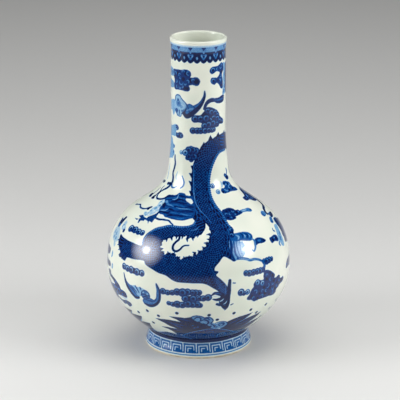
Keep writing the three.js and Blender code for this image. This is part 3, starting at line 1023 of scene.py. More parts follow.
stroke([(-62, 78), (-58.5, 77.2), (-55, 77.2), (-52, 78.6)], [0.8, 1.8, 0.8], 0.2)

# The dragon, painted in many layers of cobalt. Its trunk comes down from behind the neck, turns in a
# loop over the belly and ends in the hind leg, and its head looks out to the left under a long mane.
scale_size = 3.7
# A scale's radius as a share of its size, where its pale rim begins, and the two tones
scale_reach = 0.58
scale_rim = 0.72
scale_dark = 1.0
scale_light = 0.67


def scaled_skin(spines):
    """A tone for scales that overlap along the nearest of some lines, each one with a paler rim."""
    tracks = []
    for spine in spines:
        path = flowing(spine, spacing=5)
        tracks.append((path, lengths_along(path), tape_at(path[:, 1]), np.radians(outline(path[:, 1])[0])))

    def tone(angles, heights):
        levels = tape_at(heights)
        nearest = np.full(len(angles), np.inf)
        along, across = np.zeros(len(angles)), np.zeros(len(angles))
        for path, done, level, degree in tracks:
            for k in range(len(path) - 1):
                x, y = (angles - path[k, 0]) * degree[k], levels - level[k]
                run, rise = (path[k + 1, 0] - path[k, 0]) * degree[k], level[k + 1] - level[k]
                length = math.hypot(run, rise)
                passed = np.clip((x * run + y * rise) / length ** 2, 0, 1)
                gap = np.hypot(x - passed * run, y - passed * rise)
                nearer = gap < nearest
                nearest = np.where(nearer, gap, nearest)
                along = np.where(nearer, done[k] + passed * length, along)
                across = np.where(nearer, (x * rise - y * run) / length, across)
        shade = np.full(len(angles), scale_dark)
        open_places = np.ones(len(angles), bool)
        row_here = np.floor(along / (scale_size / 2))
        for behind in range(3):
            row = row_here - behind + 1
            x = along - row * scale_size / 2
            shift = np.where(row % 2 == 0, 0, scale_size / 2)
            y = (across - shift + scale_size / 2) % scale_size - scale_size / 2
            away = np.hypot(x, y) / (scale_reach * scale_size)
            here = open_places & (away < 1)
            shade[here] = np.where(away[here] > scale_rim, scale_light, scale_dark)
            open_places &= ~here
        return shade
    return tone


trunk_line = [(75, 264), (50, 263), (33, 259), (18, 253), (9, 243), (5, 230), (3, 215), (5, 200), (10, 188),
              (15, 175), (15, 160), (10, 146), (-2, 136), (-15, 131), (-28, 135), (-38, 144), (-60, 143)]
strand_line = [(-38, 150), (-36, 160), (-30, 167), (-20, 170), (-8, 171), (0, 174)]
skin_tone = scaled_skin([trunk_line, strand_line])
dragon = [(70, 254.3), (60, 254), (50, 253.5), (45, 252), (38, 250), (33, 246), (28, 241), (24, 236),
          (20, 228), (18.5, 220), (17.5, 213), (17, 206), (18, 200), (20, 194), (23, 189), (25, 183),
          (25.5, 176), (28, 171.5), (25, 165.5), (24, 158), (24, 150), (25, 140), (23, 138.5), (21, 141),
          (16.5, 145), (13, 139), (10, 133), (9.8, 129), (12, 127.5), (10.5, 124), (13, 119), (15, 115),
          (17, 110), (18, 105), (19.5, 95), (18, 84), (17, 79), (13, 90), (14, 98), (13.5, 102), (12, 105),
          (9, 109), (4, 114.5), (-5, 115.5), (-13, 116), (-16, 118), (-20, 122.5), (-25, 124.5), (-30, 128),
          (-35, 132), (-36, 135), (-45, 134), (-52.5, 132.5), (-53, 129), (-55, 128.5), (-57, 130),
          (-60, 130), (-59, 134), (-60, 136.5), (-63, 140), (-66, 145), (-66.5, 149), (-67, 152),
          (-63, 151), (-58, 150.5), (-50, 150), (-41, 150.5), (-41.5, 158), (-40.5, 163), (-38, 167),
          (-35, 170.5), (-30, 173), (-25, 175), (-15, 175), (-8, 176), (-4, 178), (-3, 181), (-5, 183),
          (-6, 190), (-7, 197), (-9, 202), (-11, 207), (-11.5, 215), (-11.5, 224), (-11, 232), (-9, 240),
          (-5, 246), (-1, 252), (3, 257), (8, 262.5), (16, 265.5), (24, 268.5), (30, 269), (38, 271),
          (50, 272.5), (60, 273), (70, 274.5)]
fill(dragon, skin_tone)
stroke(dragon, 1.2, 1)

# The fins along its back
for fin in ([(60.5, 272), (65, 274), (70, 276.5), (70, 272)],
            [(38.5, 270.5), (42, 273.5), (46.5, 276.5), (50.5, 272)],
            [(20, 267), (22.5, 271), (26, 274.5), (31, 269.5)],
            [(5, 258), (7.5, 263), (11.5, 267), (14, 263.5)],
            [(-4, 246), (-3.5, 251), (0, 256), (2.5, 255)],
            [(-10, 228), (-12, 233), (-15, 237.5), (-9.5, 238)],
            [(-10.5, 220), (-13.5, 224), (-18, 228.5), (-10.5, 229)],
            [(-10.5, 208), (-12.5, 213), (-17.5, 219.5), (-10.5, 218)],
            [(-9.5, 200), (-11.5, 204), (-15, 208.5), (-9.5, 208)]):
    fill(fin, 1, sharp=True)


def heading(here, after):
    """The direction on the wall from one place to another, across and up, with a length of 1."""
    run = math.radians(after[0] - here[0]) * outline(here[1])[0]
    rise = tape_at(after[1]) - tape_at(here[1])
    length = math.hypot(run, rise) or 1
    return run / length, rise / length


# The white that the loop leaves free. Fins make its edge ragged, except at the top, along the upper
# strand.
ragged_top = 169.5
loop_white = [(-26.5, 157), (-25, 160), (-22, 163), (-20, 162.5), (-19, 164.5), (-16, 165.5), (-13, 166),
              (-9, 166), (-8, 163.5), (-5, 165), (-3, 164.5), (0, 168), (2, 167.5), (3.5, 170), (5, 172.5),
              (6, 174.5), (6.4, 178.5), (7.6, 177), (8.8, 175), (8.6, 173), (9.6, 171), (9.4, 168),
              (8, 168.5), (7.8, 165), (7.5, 162), (6, 161.5), (5, 158.5), (4.5, 156), (3, 154.5),
              (1.5, 152.5), (-1, 149.5), (-2.5, 150), (-4, 147), (-6, 145.5), (-7.5, 146.5), (-9, 144),
              (-12, 143), (-13, 145), (-15, 147.5), (-18, 149), (-22, 147), (-25, 149), (-24, 151),
              (-26, 152), (-25.5, 155)]
stroke(loop_white, 3.4, 1, closed=True, sharp=True)
fill(loop_white, 0, sharp=True)
loop_edge = flowing([*loop_white, loop_white[0]], sharp=True, spacing=2.4)[::2]
loop_edge = loop_edge[loop_edge[:, 1] < ragged_top]
for number, (here, after) in enumerate(zip(loop_edge[:-1], loop_edge[1:])):
    across, up = heading(here, after)
    out = (-up, across)
    if number % 2:
        stroke(drawn(here, [(0, 0), (0.9 * out[0] - 0.3, 0.9 * out[1] - 0.5)]), [2.6, 0.8], 0)
    else:
        stroke(drawn(here, [(0.8 * out[0], 0.8 * out[1]), (-2.5 * out[0] - 0.4, -2.5 * out[1] - 0.8)]),
               [2.8, 0.5], 1)
stroke([(-14, 167), (-14, 163), (-16, 160), (-17.5, 156), (-17, 152), (-15, 150.5), (-12.5, 152.5),
        (-11, 155.5), (-9.5, 157), (-6.5, 157.5)], [2.6, 2.6, 2.4, 1.2])

# The ribbed belly, along the right edge of the trunk and the left of the upper strand
trunk_edge = [(70, 252.5), (50, 252), (42, 249.5), (35, 244.5), (28, 237.5), (23, 229.5), (19.8, 221),
              (18.6, 213), (18, 206), (18.8, 200), (21, 193.5), (23.5, 188.5), (25, 183), (25.5, 176),
              (27.5, 171)]
strand_edge = [(-2.5, 180), (-5, 176.5), (-9, 175.2), (-15, 174.5), (-25, 174.3), (-30, 172.2),
               (-35, 169.5), (-38, 166), (-40, 162), (-41, 157), (-41, 152)]


def rungs(places, width, spacing, tone):
    """Short ticks of the brush across a line."""
    path = flowing(places, spacing=spacing)
    for here, after in zip(path, path[1:]):
        across, up = heading(here, after)
        side = (-up * width / 2, across * width / 2)
        stroke(drawn(here, [side, (-side[0], -side[1])]), 0.9, tone)


stroke(trunk_edge, [3, 3, 3, 2.4], 0.5)
rungs(trunk_edge, 2.8, 3.1, 0.88)
stroke(strand_edge, [2, 2, 2.4, 1.6], 0.42)
rungs(strand_edge, 2, 2.8, 0.85)
stroke([(-9, 240), (-9, 225), (-7.5, 210), (-6, 203), (-3, 196), (2, 190), (8, 184), (12, 178)],
       [0.6, 1, 1, 0.5], 0.4)
stroke([(-6, 172), (-2, 173), (1, 176)], [0.5, 1, 0.5], 0.4)

# The hip's long hair, and the hind foot with its claws
fill([(22.5, 161), (27, 159), (32, 157), (33.5, 151), (31.5, 144), (27, 139.5), (22.5, 140)], 0.36)
for hair, widths, tone in (
        ([(24, 165), (23.5, 162.5), (23, 154.5), (22, 146.5), (23.5, 139.5)], [1.5, 3.4, 3.4, 2.4], 0.86),
        ([(26, 164), (25.5, 160), (25, 152.5), (25, 145), (26.5, 141)], [1, 2.4, 2.4, 1.4], 0.7),
        ([(27.5, 161), (27, 156), (27, 148.5), (28, 142)], [0.8, 1.6, 1.6, 0.8], 0.6),
        ([(30, 159.5), (29.6, 155), (29, 148), (29.5, 143.5)], [0.6, 1.2, 1.2, 0.6], 0.5),
        ([(32, 158), (31.6, 153), (30.8, 147)], [0.6, 1.2, 0.6], 0.46),
        ([(26, 140.5), (30, 139.5), (33, 137.5), (34.5, 136.2), (38, 136), (41, 134.5), (43.5, 132),
          (45, 130)],
         [3, 3.2, 3, 2.6, 2.4], 0.7),
        ([(27, 140.3), (30, 139.3), (33, 137.3), (37, 136), (40, 135.3), (43, 133)], [1, 1.2, 0.8], 0.34)):
    stroke(hair, widths, tone)
for tone, places in (
        (0.64, [(24, 172), (27, 172), (28, 169.5), (27.5, 167), (32.5, 167), (36.5, 166.5), (40, 165),
                (42, 162), (41.5, 159), (40, 157), (37, 157), (32, 158.6), (27.5, 159), (24, 160.5)]),
        (0.84, [(43, 157), (46, 157.5), (49, 156.5), (52, 153.5), (52.5, 152), (51, 151), (47.5, 151),
                (44.5, 151.5), (42, 150.5), (41.5, 154)])):
    fill(places, tone)
cloud([(26.5, 170.5, 3.2), (25.5, 165.5, 3.2)], **deep)
for line, widths, tone in (
        ([(32.5, 166), (34, 164), (33, 161)], [0.8, 2, 0.8], 0.86),
        ([(36.5, 165), (38.2, 163), (37, 160)], [0.8, 2.4, 0.8], 0.88),
        ([(40.6, 163.5), (41.4, 161), (40, 158.4)], [0.6, 1.4, 0.6], 0.74),
        ([(28.6, 165), (30.4, 163), (29.4, 160.6)], [1.2, 3, 1.2], 0.32),
        ([(35, 164.6), (35.8, 162.8), (35, 160.6)], [0.6, 1.6, 0.6], 0.28),
        ([(39, 163.4), (39.8, 161.6), (39, 159.8)], [0.5, 1.2, 0.5], 0.3),
        ([(40.5, 158.5), (42, 155.5), (41.5, 151.5), (41, 148.5), (39, 145), (37.8, 147)],
         [1.6, 3, 3, 2.4, 1], 0.48),
        ([(45.4, 154.6), (47.6, 154.2)], [2.4, 3, 1.6], 0.52),
        ([(50.2, 153.6), (51.2, 152.6)], [2, 2.4, 1.6], 0.98)):
    stroke(line, widths, tone)
stroke([(18.3, 86), (18.6, 96.5), (19, 103), (19, 108.5), (19.5, 116)], [4.8, 4.8, 4.6, 4.6, 3.6], 0.96)
for claw, widths in (([(16.5, 97), (14, 99.5), (12, 101), (10, 101.5), (8, 99)], [5, 5, 4.4, 3.4, 1.4]),
                     ([(17, 95), (13.5, 93.6), (11, 93), (9, 94)], [5, 4.4, 3.6, 1.4]),
                     ([(18, 91), (15.5, 87.5), (13.5, 86), (11.5, 87)], [5, 4.6, 4.2, 3]),
                     ([(18.3, 92), (18.3, 86), (18, 81), (17, 77.5)], [5.4, 5, 3.6, 0.8])):
    stroke(claw, widths, 0.97)
for gleam, width, tone in (([(8.6, 97.2), (10.5, 97.4), (12.6, 96.8)], 1.5, 0.12),
                           ([(13.2, 90.6), (14.6, 91.6), (15.6, 93.6)], 1.5, 0.12),
                           ([(15.6, 86.2), (17, 87.6), (17.8, 90.4)], 1.3, 0.1),
                           ([(10, 100.8), (12.2, 101), (14, 100)], 1.2, 0.55),
                           ([(12, 86.8), (13.4, 87.3)], 1, 0.5),
                           ([(16.6, 112), (16.8, 104), (16.4, 98)], 0.9, 0.45)):
    stroke(gleam, [0.6 * width, width, 0.5 * width], tone)
stroke([(20.6, 84.2), (22, 85.2)], 1.3)
stroke([(21.5, 112.5), (23, 112)], 1)
for root, tip in (((-52, 134), (-53, 127.5)), ((-55, 134), (-57, 128)), ((-58, 136), (-61, 130.5)),
                  ((-60, 139), (-63, 136)), ((-63, 143), (-66, 140.5)), ((-65, 147), (-68, 145.5))):
    stroke([root, tip], [3, 0.5], 0.9)

# The mane: a wash that is combed through with fine strands, and long locks over them
mane_top = [(-48, 199), (-36, 201.6), (-27, 203.6), (-17, 202), (-5, 199)]
mane_foot = [(-42, 184), (-34, 182.4), (-26, 181.6), (-17, 181.2), (-5, 183.4)]
fill([(-46, 186), (-47, 189), (-48, 192), (-49, 195.5), (-49, 198), (-46, 200.5), (-42, 201.5), (-36, 202),
      (-33, 203), (-30, 205), (-27, 205.4), (-21, 205), (-18.5, 203.4), (-14, 203), (-8, 203), (-5, 196),
      (-3.5, 189), (-5.5, 183), (-7.5, 182.5), (-10.5, 181.5), (-14, 180.5), (-20, 180.4), (-26, 180.8),
      (-30, 181.3), (-33, 181.5), (-36.5, 183), (-40, 183), (-43, 184)], 0.76)
for strand in range(12):
    share = (strand + 0.5) / 12
    stroke([(between(a, c, share), between(b, d, share)) for (a, b), (c, d) in zip(mane_top, mane_foot)],
           [0.4, 1.1, 1.3, 1, 0.5], (0.9, 0.6, 0.97, 0.68)[strand % 4])
for lock, widths, tone in (
        ([(-46, 194), (-42, 194), (-39, 192.5), (-34, 192), (-30, 191.5)], [1.4, 2.8, 2.8, 2.2, 1], 0.46),
        ([(-26.5, 191), (-21, 190.5), (-16, 190.5), (-11, 190.5), (-7.5, 190)], [0.6, 1.6, 1.8, 1.4, 0.6],
         0.42),
        ([(-43.5, 186), (-40, 186.5), (-37, 187), (-36, 188), (-34, 189)], [0.8, 1.8, 2, 1.4, 0.6], 0.34),
        ([(-19, 186.5), (-14, 185.5), (-10, 185), (-7, 185)], [0.6, 1.6, 1.6, 0.6], 0.46),
        ([(-21.5, 182), (-17, 181.5), (-14, 182.5)], [0.6, 1.5, 0.8], 0.52),
        ([(-26.5, 193), (-23, 193)], [1, 3, 1], 0.66),
        ([(-24.6, 200), (-23.4, 200.2)], 1.3, 0.5),
        ([(-20.6, 201), (-19.4, 201.2)], 1.3, 0.5),
        ([(-37, 195.5), (-33, 196), (-30, 197), (-27.5, 198), (-23, 199)], [1, 2.4, 2.4, 1.2], 0.97),
        ([(-30, 196), (-24, 196), (-18, 195.5), (-14, 195.5)], [1, 2.3, 2.3, 0.8], 0.93),
        ([(-16, 192), (-11.5, 192.5), (-6, 192.5)], [0.8, 2, 2], 0.97),
        ([(-22, 188.5), (-17, 188.5), (-12, 189), (-6, 188.5)], [0.8, 2.2, 2.4, 2], 0.95),
        ([(-34, 189), (-30, 188.5), (-27, 187.5)], [1.8, 3, 1.2], 0.96),
        ([(-36, 185), (-33, 185), (-31, 186.5)], [1.6, 2.2, 1], 0.98),
        ([(-31.5, 183), (-28, 183.5), (-25.5, 183.5)], [1.4, 2.8, 1.2], 0.93),
        ([(-23, 185), (-18, 184.5), (-14, 184)], [0.8, 2.2, 0.8], 0.92),
        ([(-28, 202.2), (-23, 201.8), (-19, 201.4)], [1.8, 3.2, 1.6], 0.92),
        ([(-51, 196.5), (-49, 198), (-46, 200), (-41, 200.6), (-36, 200.8)], [1.6, 2.6, 2.4, 1.2], 0.93),
        ([(-37, 197.6), (-33, 198), (-30.2, 199.4)], [0.6, 1.5, 1], 0.3),
        ([(-30.4, 199.6), (-30, 203.8)], [1.3, 0.7], 0.28)):
    stroke(lock, widths, tone)
fill([(-17.5, 200), (-13.5, 200.5), (-10, 200.2), (-7, 197), (-9, 195.2), (-12.5, 196.6), (-16, 198)], 0.03)

# The head in profile: a pale brow and snout, a dark eye, long whiskers and a spiky jaw
fill([(-55.5, 185), (-54, 187), (-52, 188.5), (-53, 190.5), (-53.5, 192.5), (-52, 193.6), (-50, 196),
      (-47, 195), (-45.5, 191), (-46.5, 189), (-45.6, 187), (-44, 185), (-46, 183), (-47.4, 181.4),
      (-50, 179.4), (-54, 178.4), (-58, 178.4), (-60, 180.4), (-58.4, 181.4), (-56.6, 180.8), (-55, 183)],
     0.2)
for angle, height, radius, tone in (
        (-51, 186.5, 2, 0.38), (-48.6, 189.6, 1.6, 0.42), (-54, 183.2, 1.5, 0.36), (-57.4, 180, 1.3, 0.33),
        (-54, 181, 0.9, 0.3), (-50.5, 181.4, 0.9, 0.3), (-55, 178.6, 1.5, 0.32), (-51, 193, 1.5, 0.32),
        (-47, 187, 1.1, 0.06), (-55.8, 182, 1.3, 0.02), (-46, 183.8, 1.4, 0.08), (-49.5, 184, 1.3, 0.05),
        (-52.3, 184.8, 0.9, 0.1), (-49.5, 191.6, 1.1, 0.1), (-52.2, 180, 1.1, 0.03), (-43, 194.6, 2, 0.42),
        (-48.6, 193.8, 1, 0.1)):
    spot((angle, height), radius, tone)
for line, widths, tone in (
        ([(-45.5, 187), (-41.5, 187.8), (-38, 188.6)], [0.8, 2, 1.6], 0.74),
        ([(-50, 177.6), (-48, 179), (-46, 180.5), (-44, 182), (-43, 184), (-41, 185.2), (-36, 185),
          (-31, 186.4)],
         [2, 2.4, 2.6, 2.6, 2.4, 2.2, 1.6], 0.96),
        ([(-57.5, 186), (-60, 185), (-63, 183), (-66, 182), (-69.5, 181.5), (-74, 181.5), (-79, 182.5),
          (-83.5, 181), (-88, 179.5)], [2.6, 2.6, 2.4, 2.2, 2.2, 2, 2, 1.6, 2.6], 0.87),
        ([(-41.5, 179), (-37, 178.5), (-33.5, 179), (-30.5, 179), (-27.5, 179), (-24, 177), (-22, 176)],
         [2.4, 2.8, 2.6, 2.2, 1.8, 1.4], 0.92)):
    stroke(line, widths, tone)
for tone, places in (
        (0.97, [(-46.5, 191.5), (-45, 193), (-42, 192.6), (-41, 190.5), (-40.3, 188.6), (-42.5, 188.6),
                (-45.5, 190)]),
        (0.96, [(-60, 182.5), (-58, 183), (-57.5, 185), (-56.5, 186), (-59, 186.5), (-60, 185),
                (-61.5, 183.5)]),
        (0.8, [(-59, 177.5), (-58, 176.5), (-60, 175.5), (-57.5, 175), (-58, 173.5), (-56, 170),
               (-55, 170.5), (-55, 173), (-53, 173.5), (-51.5, 173.5), (-51.5, 175), (-49.5, 175),
               (-47, 174.5), (-45, 172.5), (-46, 175), (-45, 175), (-42, 174.5), (-42, 176.5), (-42, 178),
               (-41, 179), (-42, 180.5), (-42, 183), (-44.5, 182.5), (-46.5, 181), (-48, 179), (-50, 177.5),
               (-50.5, 176.5), (-53, 176.5), (-55.5, 177)]),
        (0.84, [(-64, 172.6), (-60, 173.2), (-57, 173.4), (-56, 175), (-57, 176), (-58, 174), (-60, 172)]),
        (0.84, [(-62, 176), (-58.6, 177.6), (-56.6, 177.6), (-57, 176.2), (-60, 175.4)]),
        (0.03, [(-42, 180.5), (-41, 181.5), (-39, 183), (-36, 182.5), (-34, 181), (-31.5, 181),
                (-27, 180.5), (-29.5, 180), (-35, 180), (-38, 179.6), (-41, 179.9)])):
    fill(places, tone, sharp=True)

# Loose tendrils that rise from the mane along the foot of the neck
for tendril, widths, tone in (
        ([(-54, 247), (-53.5, 243), (-51.5, 237), (-53, 231.5), (-55.5, 225), (-52.5, 219.5), (-51.5, 215),
          (-53.5, 211), (-57.5, 207), (-64, 203.5), (-67.5, 200.5), (-68.3, 197.3), (-66, 195), (-62, 194),
          (-54.5, 195), (-49.5, 197), (-45.5, 200.3)], [2, 2.8, 2.6, 3, 3, 2.4, 2.2, 2.8, 2], 0.94),
        ([(-62, 211.2), (-57, 212), (-51.5, 212.6)], [3.6, 2.8, 1.6], 0.92),
        ([(-69, 207), (-71, 204), (-70, 200.5), (-71.5, 197), (-72, 194.5)], [1, 1.8, 2.2, 2.2, 2], 0.96),
        ([(-78.5, 203.5), (-79.5, 200), (-81, 196.5), (-82, 193.5)], [0.8, 1.4, 1.6, 1.6], 0.95),
        ([(-73, 234), (-74, 226), (-72, 219), (-70.5, 215.5)], [0.6, 1.4, 1.6, 1], 0.42),
        ([(-31.5, 224), (-28, 220), (-26, 216.5), (-27, 212.5), (-31, 210)], [1.2, 2, 2.2, 1.4], 0.62),
        ([(-43, 228), (-45.5, 221.5), (-42, 218.3)], [0.8, 1.5, 0.8], 0.3),
        ([(-50.5, 212), (-49, 209.5), (-44, 209), (-39, 211.3)], [2, 2.2, 1.8, 1], 0.6)):
    stroke(tendril, widths, tone)
for end in ([(-84, 190.5), (-87, 191), (-89, 192.5), (-87, 194), (-81, 195), (-80.5, 193), (-78.5, 192)],
            [(-75, 191.5), (-71, 191.5), (-68, 192.5), (-70, 194), (-70, 196), (-73, 195.5),
             (-75.5, 193.5)],
            [(-64, 211), (-62, 212.5), (-56, 213.5), (-50.5, 213), (-51.5, 211), (-58, 210.3)],
            [(-90, 209.5), (-79.5, 212), (-74, 211.5), (-77, 209.5), (-82, 208.5)]):
    fill(end, 0.95)

# A cloud at its nape covers part of the trunk's edge
cloud([(-37, 252.5, 2.5), (-23, 246.5, 2.5)], **faint)
cloud([(-14, 245, 3), (-19.5, 248, 4), (-8.5, 249, 4.5), (-16, 252.5, 4.5), (-5, 256, 4.5), (-10.5, 257, 4),
       (-15, 259, 3), (-20, 256.5, 4.5)], edge=0.97, wash=0.82, curl=0.5, core=0.95)
cloud([(-27.5, 253, 4)], **soft)

# The rest of the dragon, round the back, where the photograph doesn't show it: the trunk thins to a
# tail with a tuft, and two legs reach out.
tail_line = [(66, 264), (85, 261), (105, 256), (130, 246), (150, 231), (163, 214), (172, 196), (184, 180),
             (200, 167), (215, 152), (219, 136), (211, 122), (198, 115), (186, 118), (180, 128)]
tail_skin = scaled_skin([tail_line])
for leg, widths in (([(168, 200), (154, 190), (146, 176), (150, 164), (158, 157)], [13, 11, 9, 7, 6]),
                    ([(214, 156), (230, 158), (237, 166), (241, 178), (246, 186)], [12, 10, 8, 7, 6])):
    stroke(leg, widths, tail_skin)
    # Five claws spread from the leg's end, and each bends in towards its tip
    across, up = heading(leg[-1], leg[-2])
    forward = math.atan2(-up, -across)
    for spread in (-1.9, -0.95, 0, 0.95, 1.9):
        bend = [(reach * math.cos(forward + spread * share), reach * math.sin(forward + spread * share))
                for reach, share in ((0, 1), (5, 1), (11, 0.9), (14, 0.75))]
        stroke(drawn(leg[-1], bend), [4.5, 4, 2.6, 0.5])
tail_widths = np.array([20, 20, 20, 19, 19, 18, 18, 17, 15, 13, 11, 9, 7, 5, 3])
tail_edge = 0.8
stroke(tail_line, tail_widths, 1)
stroke(tail_line, np.maximum(tail_widths - 2 * tail_edge, 2 * tail_edge), tail_skin)
tail_path = flowing(tail_line, spacing=8)
for here, after in zip(tail_path[2:-3], tail_path[3:-2]):
    across, up = heading(here, after)
    stroke(drawn(here, [(-8 * up, 8 * across), (-14 * up - 3 * across, 14 * across - 3 * up)]), [5, 0.6], 1)
for tuft in ([(180, 128), (186, 134), (194, 134)], [(180, 128), (181, 137), (187, 143)],
             [(180, 128), (173, 135), (172, 144)], [(181, 126), (170, 127), (165, 134)]):
    stroke(tuft, [4, 3, 0.5], 0.85)

# The flaming pearl that the dragon is after, out of sight at the back: a pale ball with a dark edge
# and a scroll in it, and three tongues of flame above.
pearl = (-112, 140)
for flame in ([(-112, 148), (-114, 158), (-110, 167)], [(-118, 146), (-122, 153), (-120, 162)],
              [(-106, 146), (-103, 153), (-105, 162)]):
    stroke(flame, [4, 3, 0.5], 0.8)
spot(pearl, 9, 0.96)
spot(pearl, 7.8, 0.2)
stroke(drawn(pearl, [(0, 4), (-4, 2), (-3, -3), (2, -4), (4, 0), (1, 2)]), [1, 1.4, 1.4, 0.8], 0.85)

# The bats, for good fortune, in cobalt on the neck and on the belly, with the same again at the back.
# Their hooked wings are a pale wash with a dark outer stroke, and their bodies are paler still.
neck_bat_wing = [(-38, 319), (-30, 314.5), (-24, 312.5), (-19, 313.5), (-16, 313), (-10.5, 311.5),
                 (-5, 313), (1.5, 315.5), (7, 319.5), (11, 324), (13, 330), (15, 325), (13.5, 320.5),
                 (10, 316), (6, 311.5), (0.5, 307.5), (-7, 303), (-15.5, 299), (-24, 296), (-27, 297),
                 (-33, 300), (-37, 301), (-39.5, 303)]
neck_bat_fold = [(-38, 302.5), (-33, 301.5), (-25, 298), (-15.5, 301), (-7, 305), (0.5, 309.3), (6, 313.3),
                 (10.5, 318), (13.2, 323.5), (13.4, 329)]
neck_bat_body = [(-54.5, 321), (-48.5, 323), (-42, 322.5), (-37, 319), (-29.5, 315.5), (-27, 312),
                 (-28, 307), (-33, 303), (-37.5, 301), (-39, 297), (-45, 296.5), (-51, 299), (-55, 301),
                 (-59, 305), (-59, 310), (-57.5, 315)]
belly_bat_left = [(-52.8, 113), (-51.4, 103.5), (-49.7, 97), (-46.2, 89.5), (-43, 84.5), (-39.5, 87),
                  (-41, 92), (-43.5, 96.5), (-46.5, 99.5), (-50, 103.5)]
belly_bat_body = [(-47, 98.5), (-44.5, 101), (-42.5, 101.6), (-40.5, 100.6), (-38.5, 101.4), (-36, 100.4),
                  (-34, 99), (-37, 94.5), (-38, 90), (-40.5, 89.5), (-42.5, 92.5)]
belly_bat_right = [(-37, 85), (-34.5, 87.5), (-31, 89.5), (-28.5, 88), (-26.7, 91.5), (-26.2, 97),
                   (-26, 103), (-26.6, 110.5), (-24.7, 105.5), (-23.8, 101), (-23.7, 94), (-24.5, 88),
                   (-27, 82), (-30.5, 78), (-34, 77.8), (-36.5, 81)]


def wing(points, fold, widths, tone):
    """A bat's wing: a wash with a thin outline, and a strong stroke along its fold."""
    fill(points, tone)
    stroke(points, 0.9, 0.85, closed=True)
    stroke(fold, widths, 0.96)


for turn in (0, 180):
    wing(turned_by(turn, neck_bat_wing), turned_by(turn, neck_bat_fold),
         [2.6, 5, 6, 5.6, 4.6, 3.4, 2.2, 0.9], 0.56)
    fill(turned_by(turn, [(-58, 315), (-66.5, 315.5), (-76, 313.5), (-92, 318), (-96, 308), (-84, 300),
                          (-73, 302), (-65, 296), (-58, 301)]), 0.32)
    for rib in ([(-24, 312), (-20, 306), (-18, 301)], [(-10.5, 311.5), (-7, 308), (-5, 305)],
                [(-34, 314), (-31, 307)]):
        stroke(turned_by(turn, rib), [0.6, 1.3, 0.8], 0.9)
    stroke(turned_by(turn, [(-27, 305), (-18, 307), (-9, 308.5)]), [1, 2.4, 1], 0.42)
    fill(turned_by(turn, neck_bat_body), 0.26)
    for edge, widths, tone in (
            ([(-57.5, 315), (-54.5, 321), (-48.5, 323), (-42, 322.5), (-37, 319), (-29.5, 315.5),
              (-25, 313)], 1, 0.82),
            ([(-59, 305), (-55, 301), (-51, 299), (-45, 296.7), (-39.4, 297.2), (-37.5, 301)], 0.9, 0.6),
            ([(-27, 307), (-32, 302.6), (-30, 299)], [2, 4.6, 3], 0.96),
            ([(-26, 311), (-29, 307), (-33, 304)], [0.6, 1.2, 0.8], 0.4)):
        stroke(turned_by(turn, edge), widths, tone)
    for angle, height, radius, tone in (
            (-46, 312.5, 4.2, 0.46), (-47, 317, 1.5, 0.74), (-45.5, 312.5, 1.6, 0.64),
            (-52, 303.5, 2.6, 0.7), (-38, 309, 2, 0.4), (-36, 304, 1.6, 0.5)):
        spot((angle + turn, height), radius, tone)
    for leg in ([(-44, 304), (-43.5, 301), (-45, 297.5)], [(-50, 303), (-51, 300), (-50, 297)]):
        stroke(turned_by(turn, leg), [1.6, 1.3, 0.8], 0.8)

    wing(turned_by(turn, belly_bat_left),
         turned_by(turn, [(-52.6, 112), (-51.2, 103.5), (-49.2, 97), (-46, 90.3), (-43, 86.2),
                          (-40, 86.8)]),
         [0.8, 2.6, 3.8, 3.8, 3.4, 2], 0.52)
    fill(turned_by(turn, belly_bat_body), 0.28)
    for stripe in ([(-46, 100), (-43, 96.5), (-41, 92.5)], [(-42.3, 101.5), (-40.6, 97.5), (-39.4, 93.5)],
                   [(-38.3, 101), (-37.6, 98)], [(-47, 98.5), (-44, 95), (-42, 91)]):
        stroke(turned_by(turn, stripe), [1.5, 1.8, 0.8], 0.86)
    for angle, height, radius, tone in (
            (-34.5, 92.5, 6.6, 0.95), (-34.5, 92.5, 5.6, 0.55), (-36, 95.3, 1.5, 0.3),
            (-33, 94.4, 1.6, 0.34)):
        spot((angle + turn, height), radius, tone)
    for arc in ([(-37.8, 92), (-35.6, 93.7), (-33.4, 92.3), (-31.6, 93)],
                [(-37, 89), (-34.8, 90.6), (-32.2, 89.4)]):
        stroke(turned_by(turn, arc), [0.9, 1.7, 0.9], 0.94)
    wing(turned_by(turn, belly_bat_right),
         turned_by(turn, [(-36, 80.5), (-33.5, 79.3), (-30.3, 79.8), (-27, 83.5), (-24.8, 89),
                          (-24.3, 95.5), (-24.7, 103), (-26.2, 110)]),
         [2.4, 3.4, 3.6, 3, 2.2, 1.6, 0.8], 0.52)
    stroke(turned_by(turn, [(-34.5, 86.5), (-31, 86), (-28.3, 86.6), (-26.5, 91)]), [1, 2, 1.4, 0.6], 0.82)

# The finished painting is laid on the walls, as the amount of cobalt at each point of them. The
# material of the glaze takes its colour from there.
for wall in walls:
    amounts = np.zeros(len(wall.piece.data.vertices), np.float32)
    painted = wall.cobalt.ravel()
    amounts[wall.first_vertex:wall.first_vertex + len(painted)] = painted
    wall.piece.data.attributes.new("cobalt", "FLOAT", "POINT").data.foreach_set("value", amounts)

# The photographer's table: a wide sheet of matt white laminate, which runs out of the light behind.
# Neither it nor the camera and the lamps belong to the vase.
floor_size = 40
table_material = blank_material("matt_white_table")
table_shader = add_node(table_material, "BsdfPrincipled", {
    "Base Color": linear("#d6d6d4"), "Roughness": 0.7, "IOR": 1.45}).outputs["BSDF"]
add_node(table_material, "OutputMaterial", {"Surface": table_shader})
bpy.ops.mesh.primitive_plane_add(size=floor_size)
table = bpy.context.object
table.name = "table_top"
table.data.materials.append(table_material)

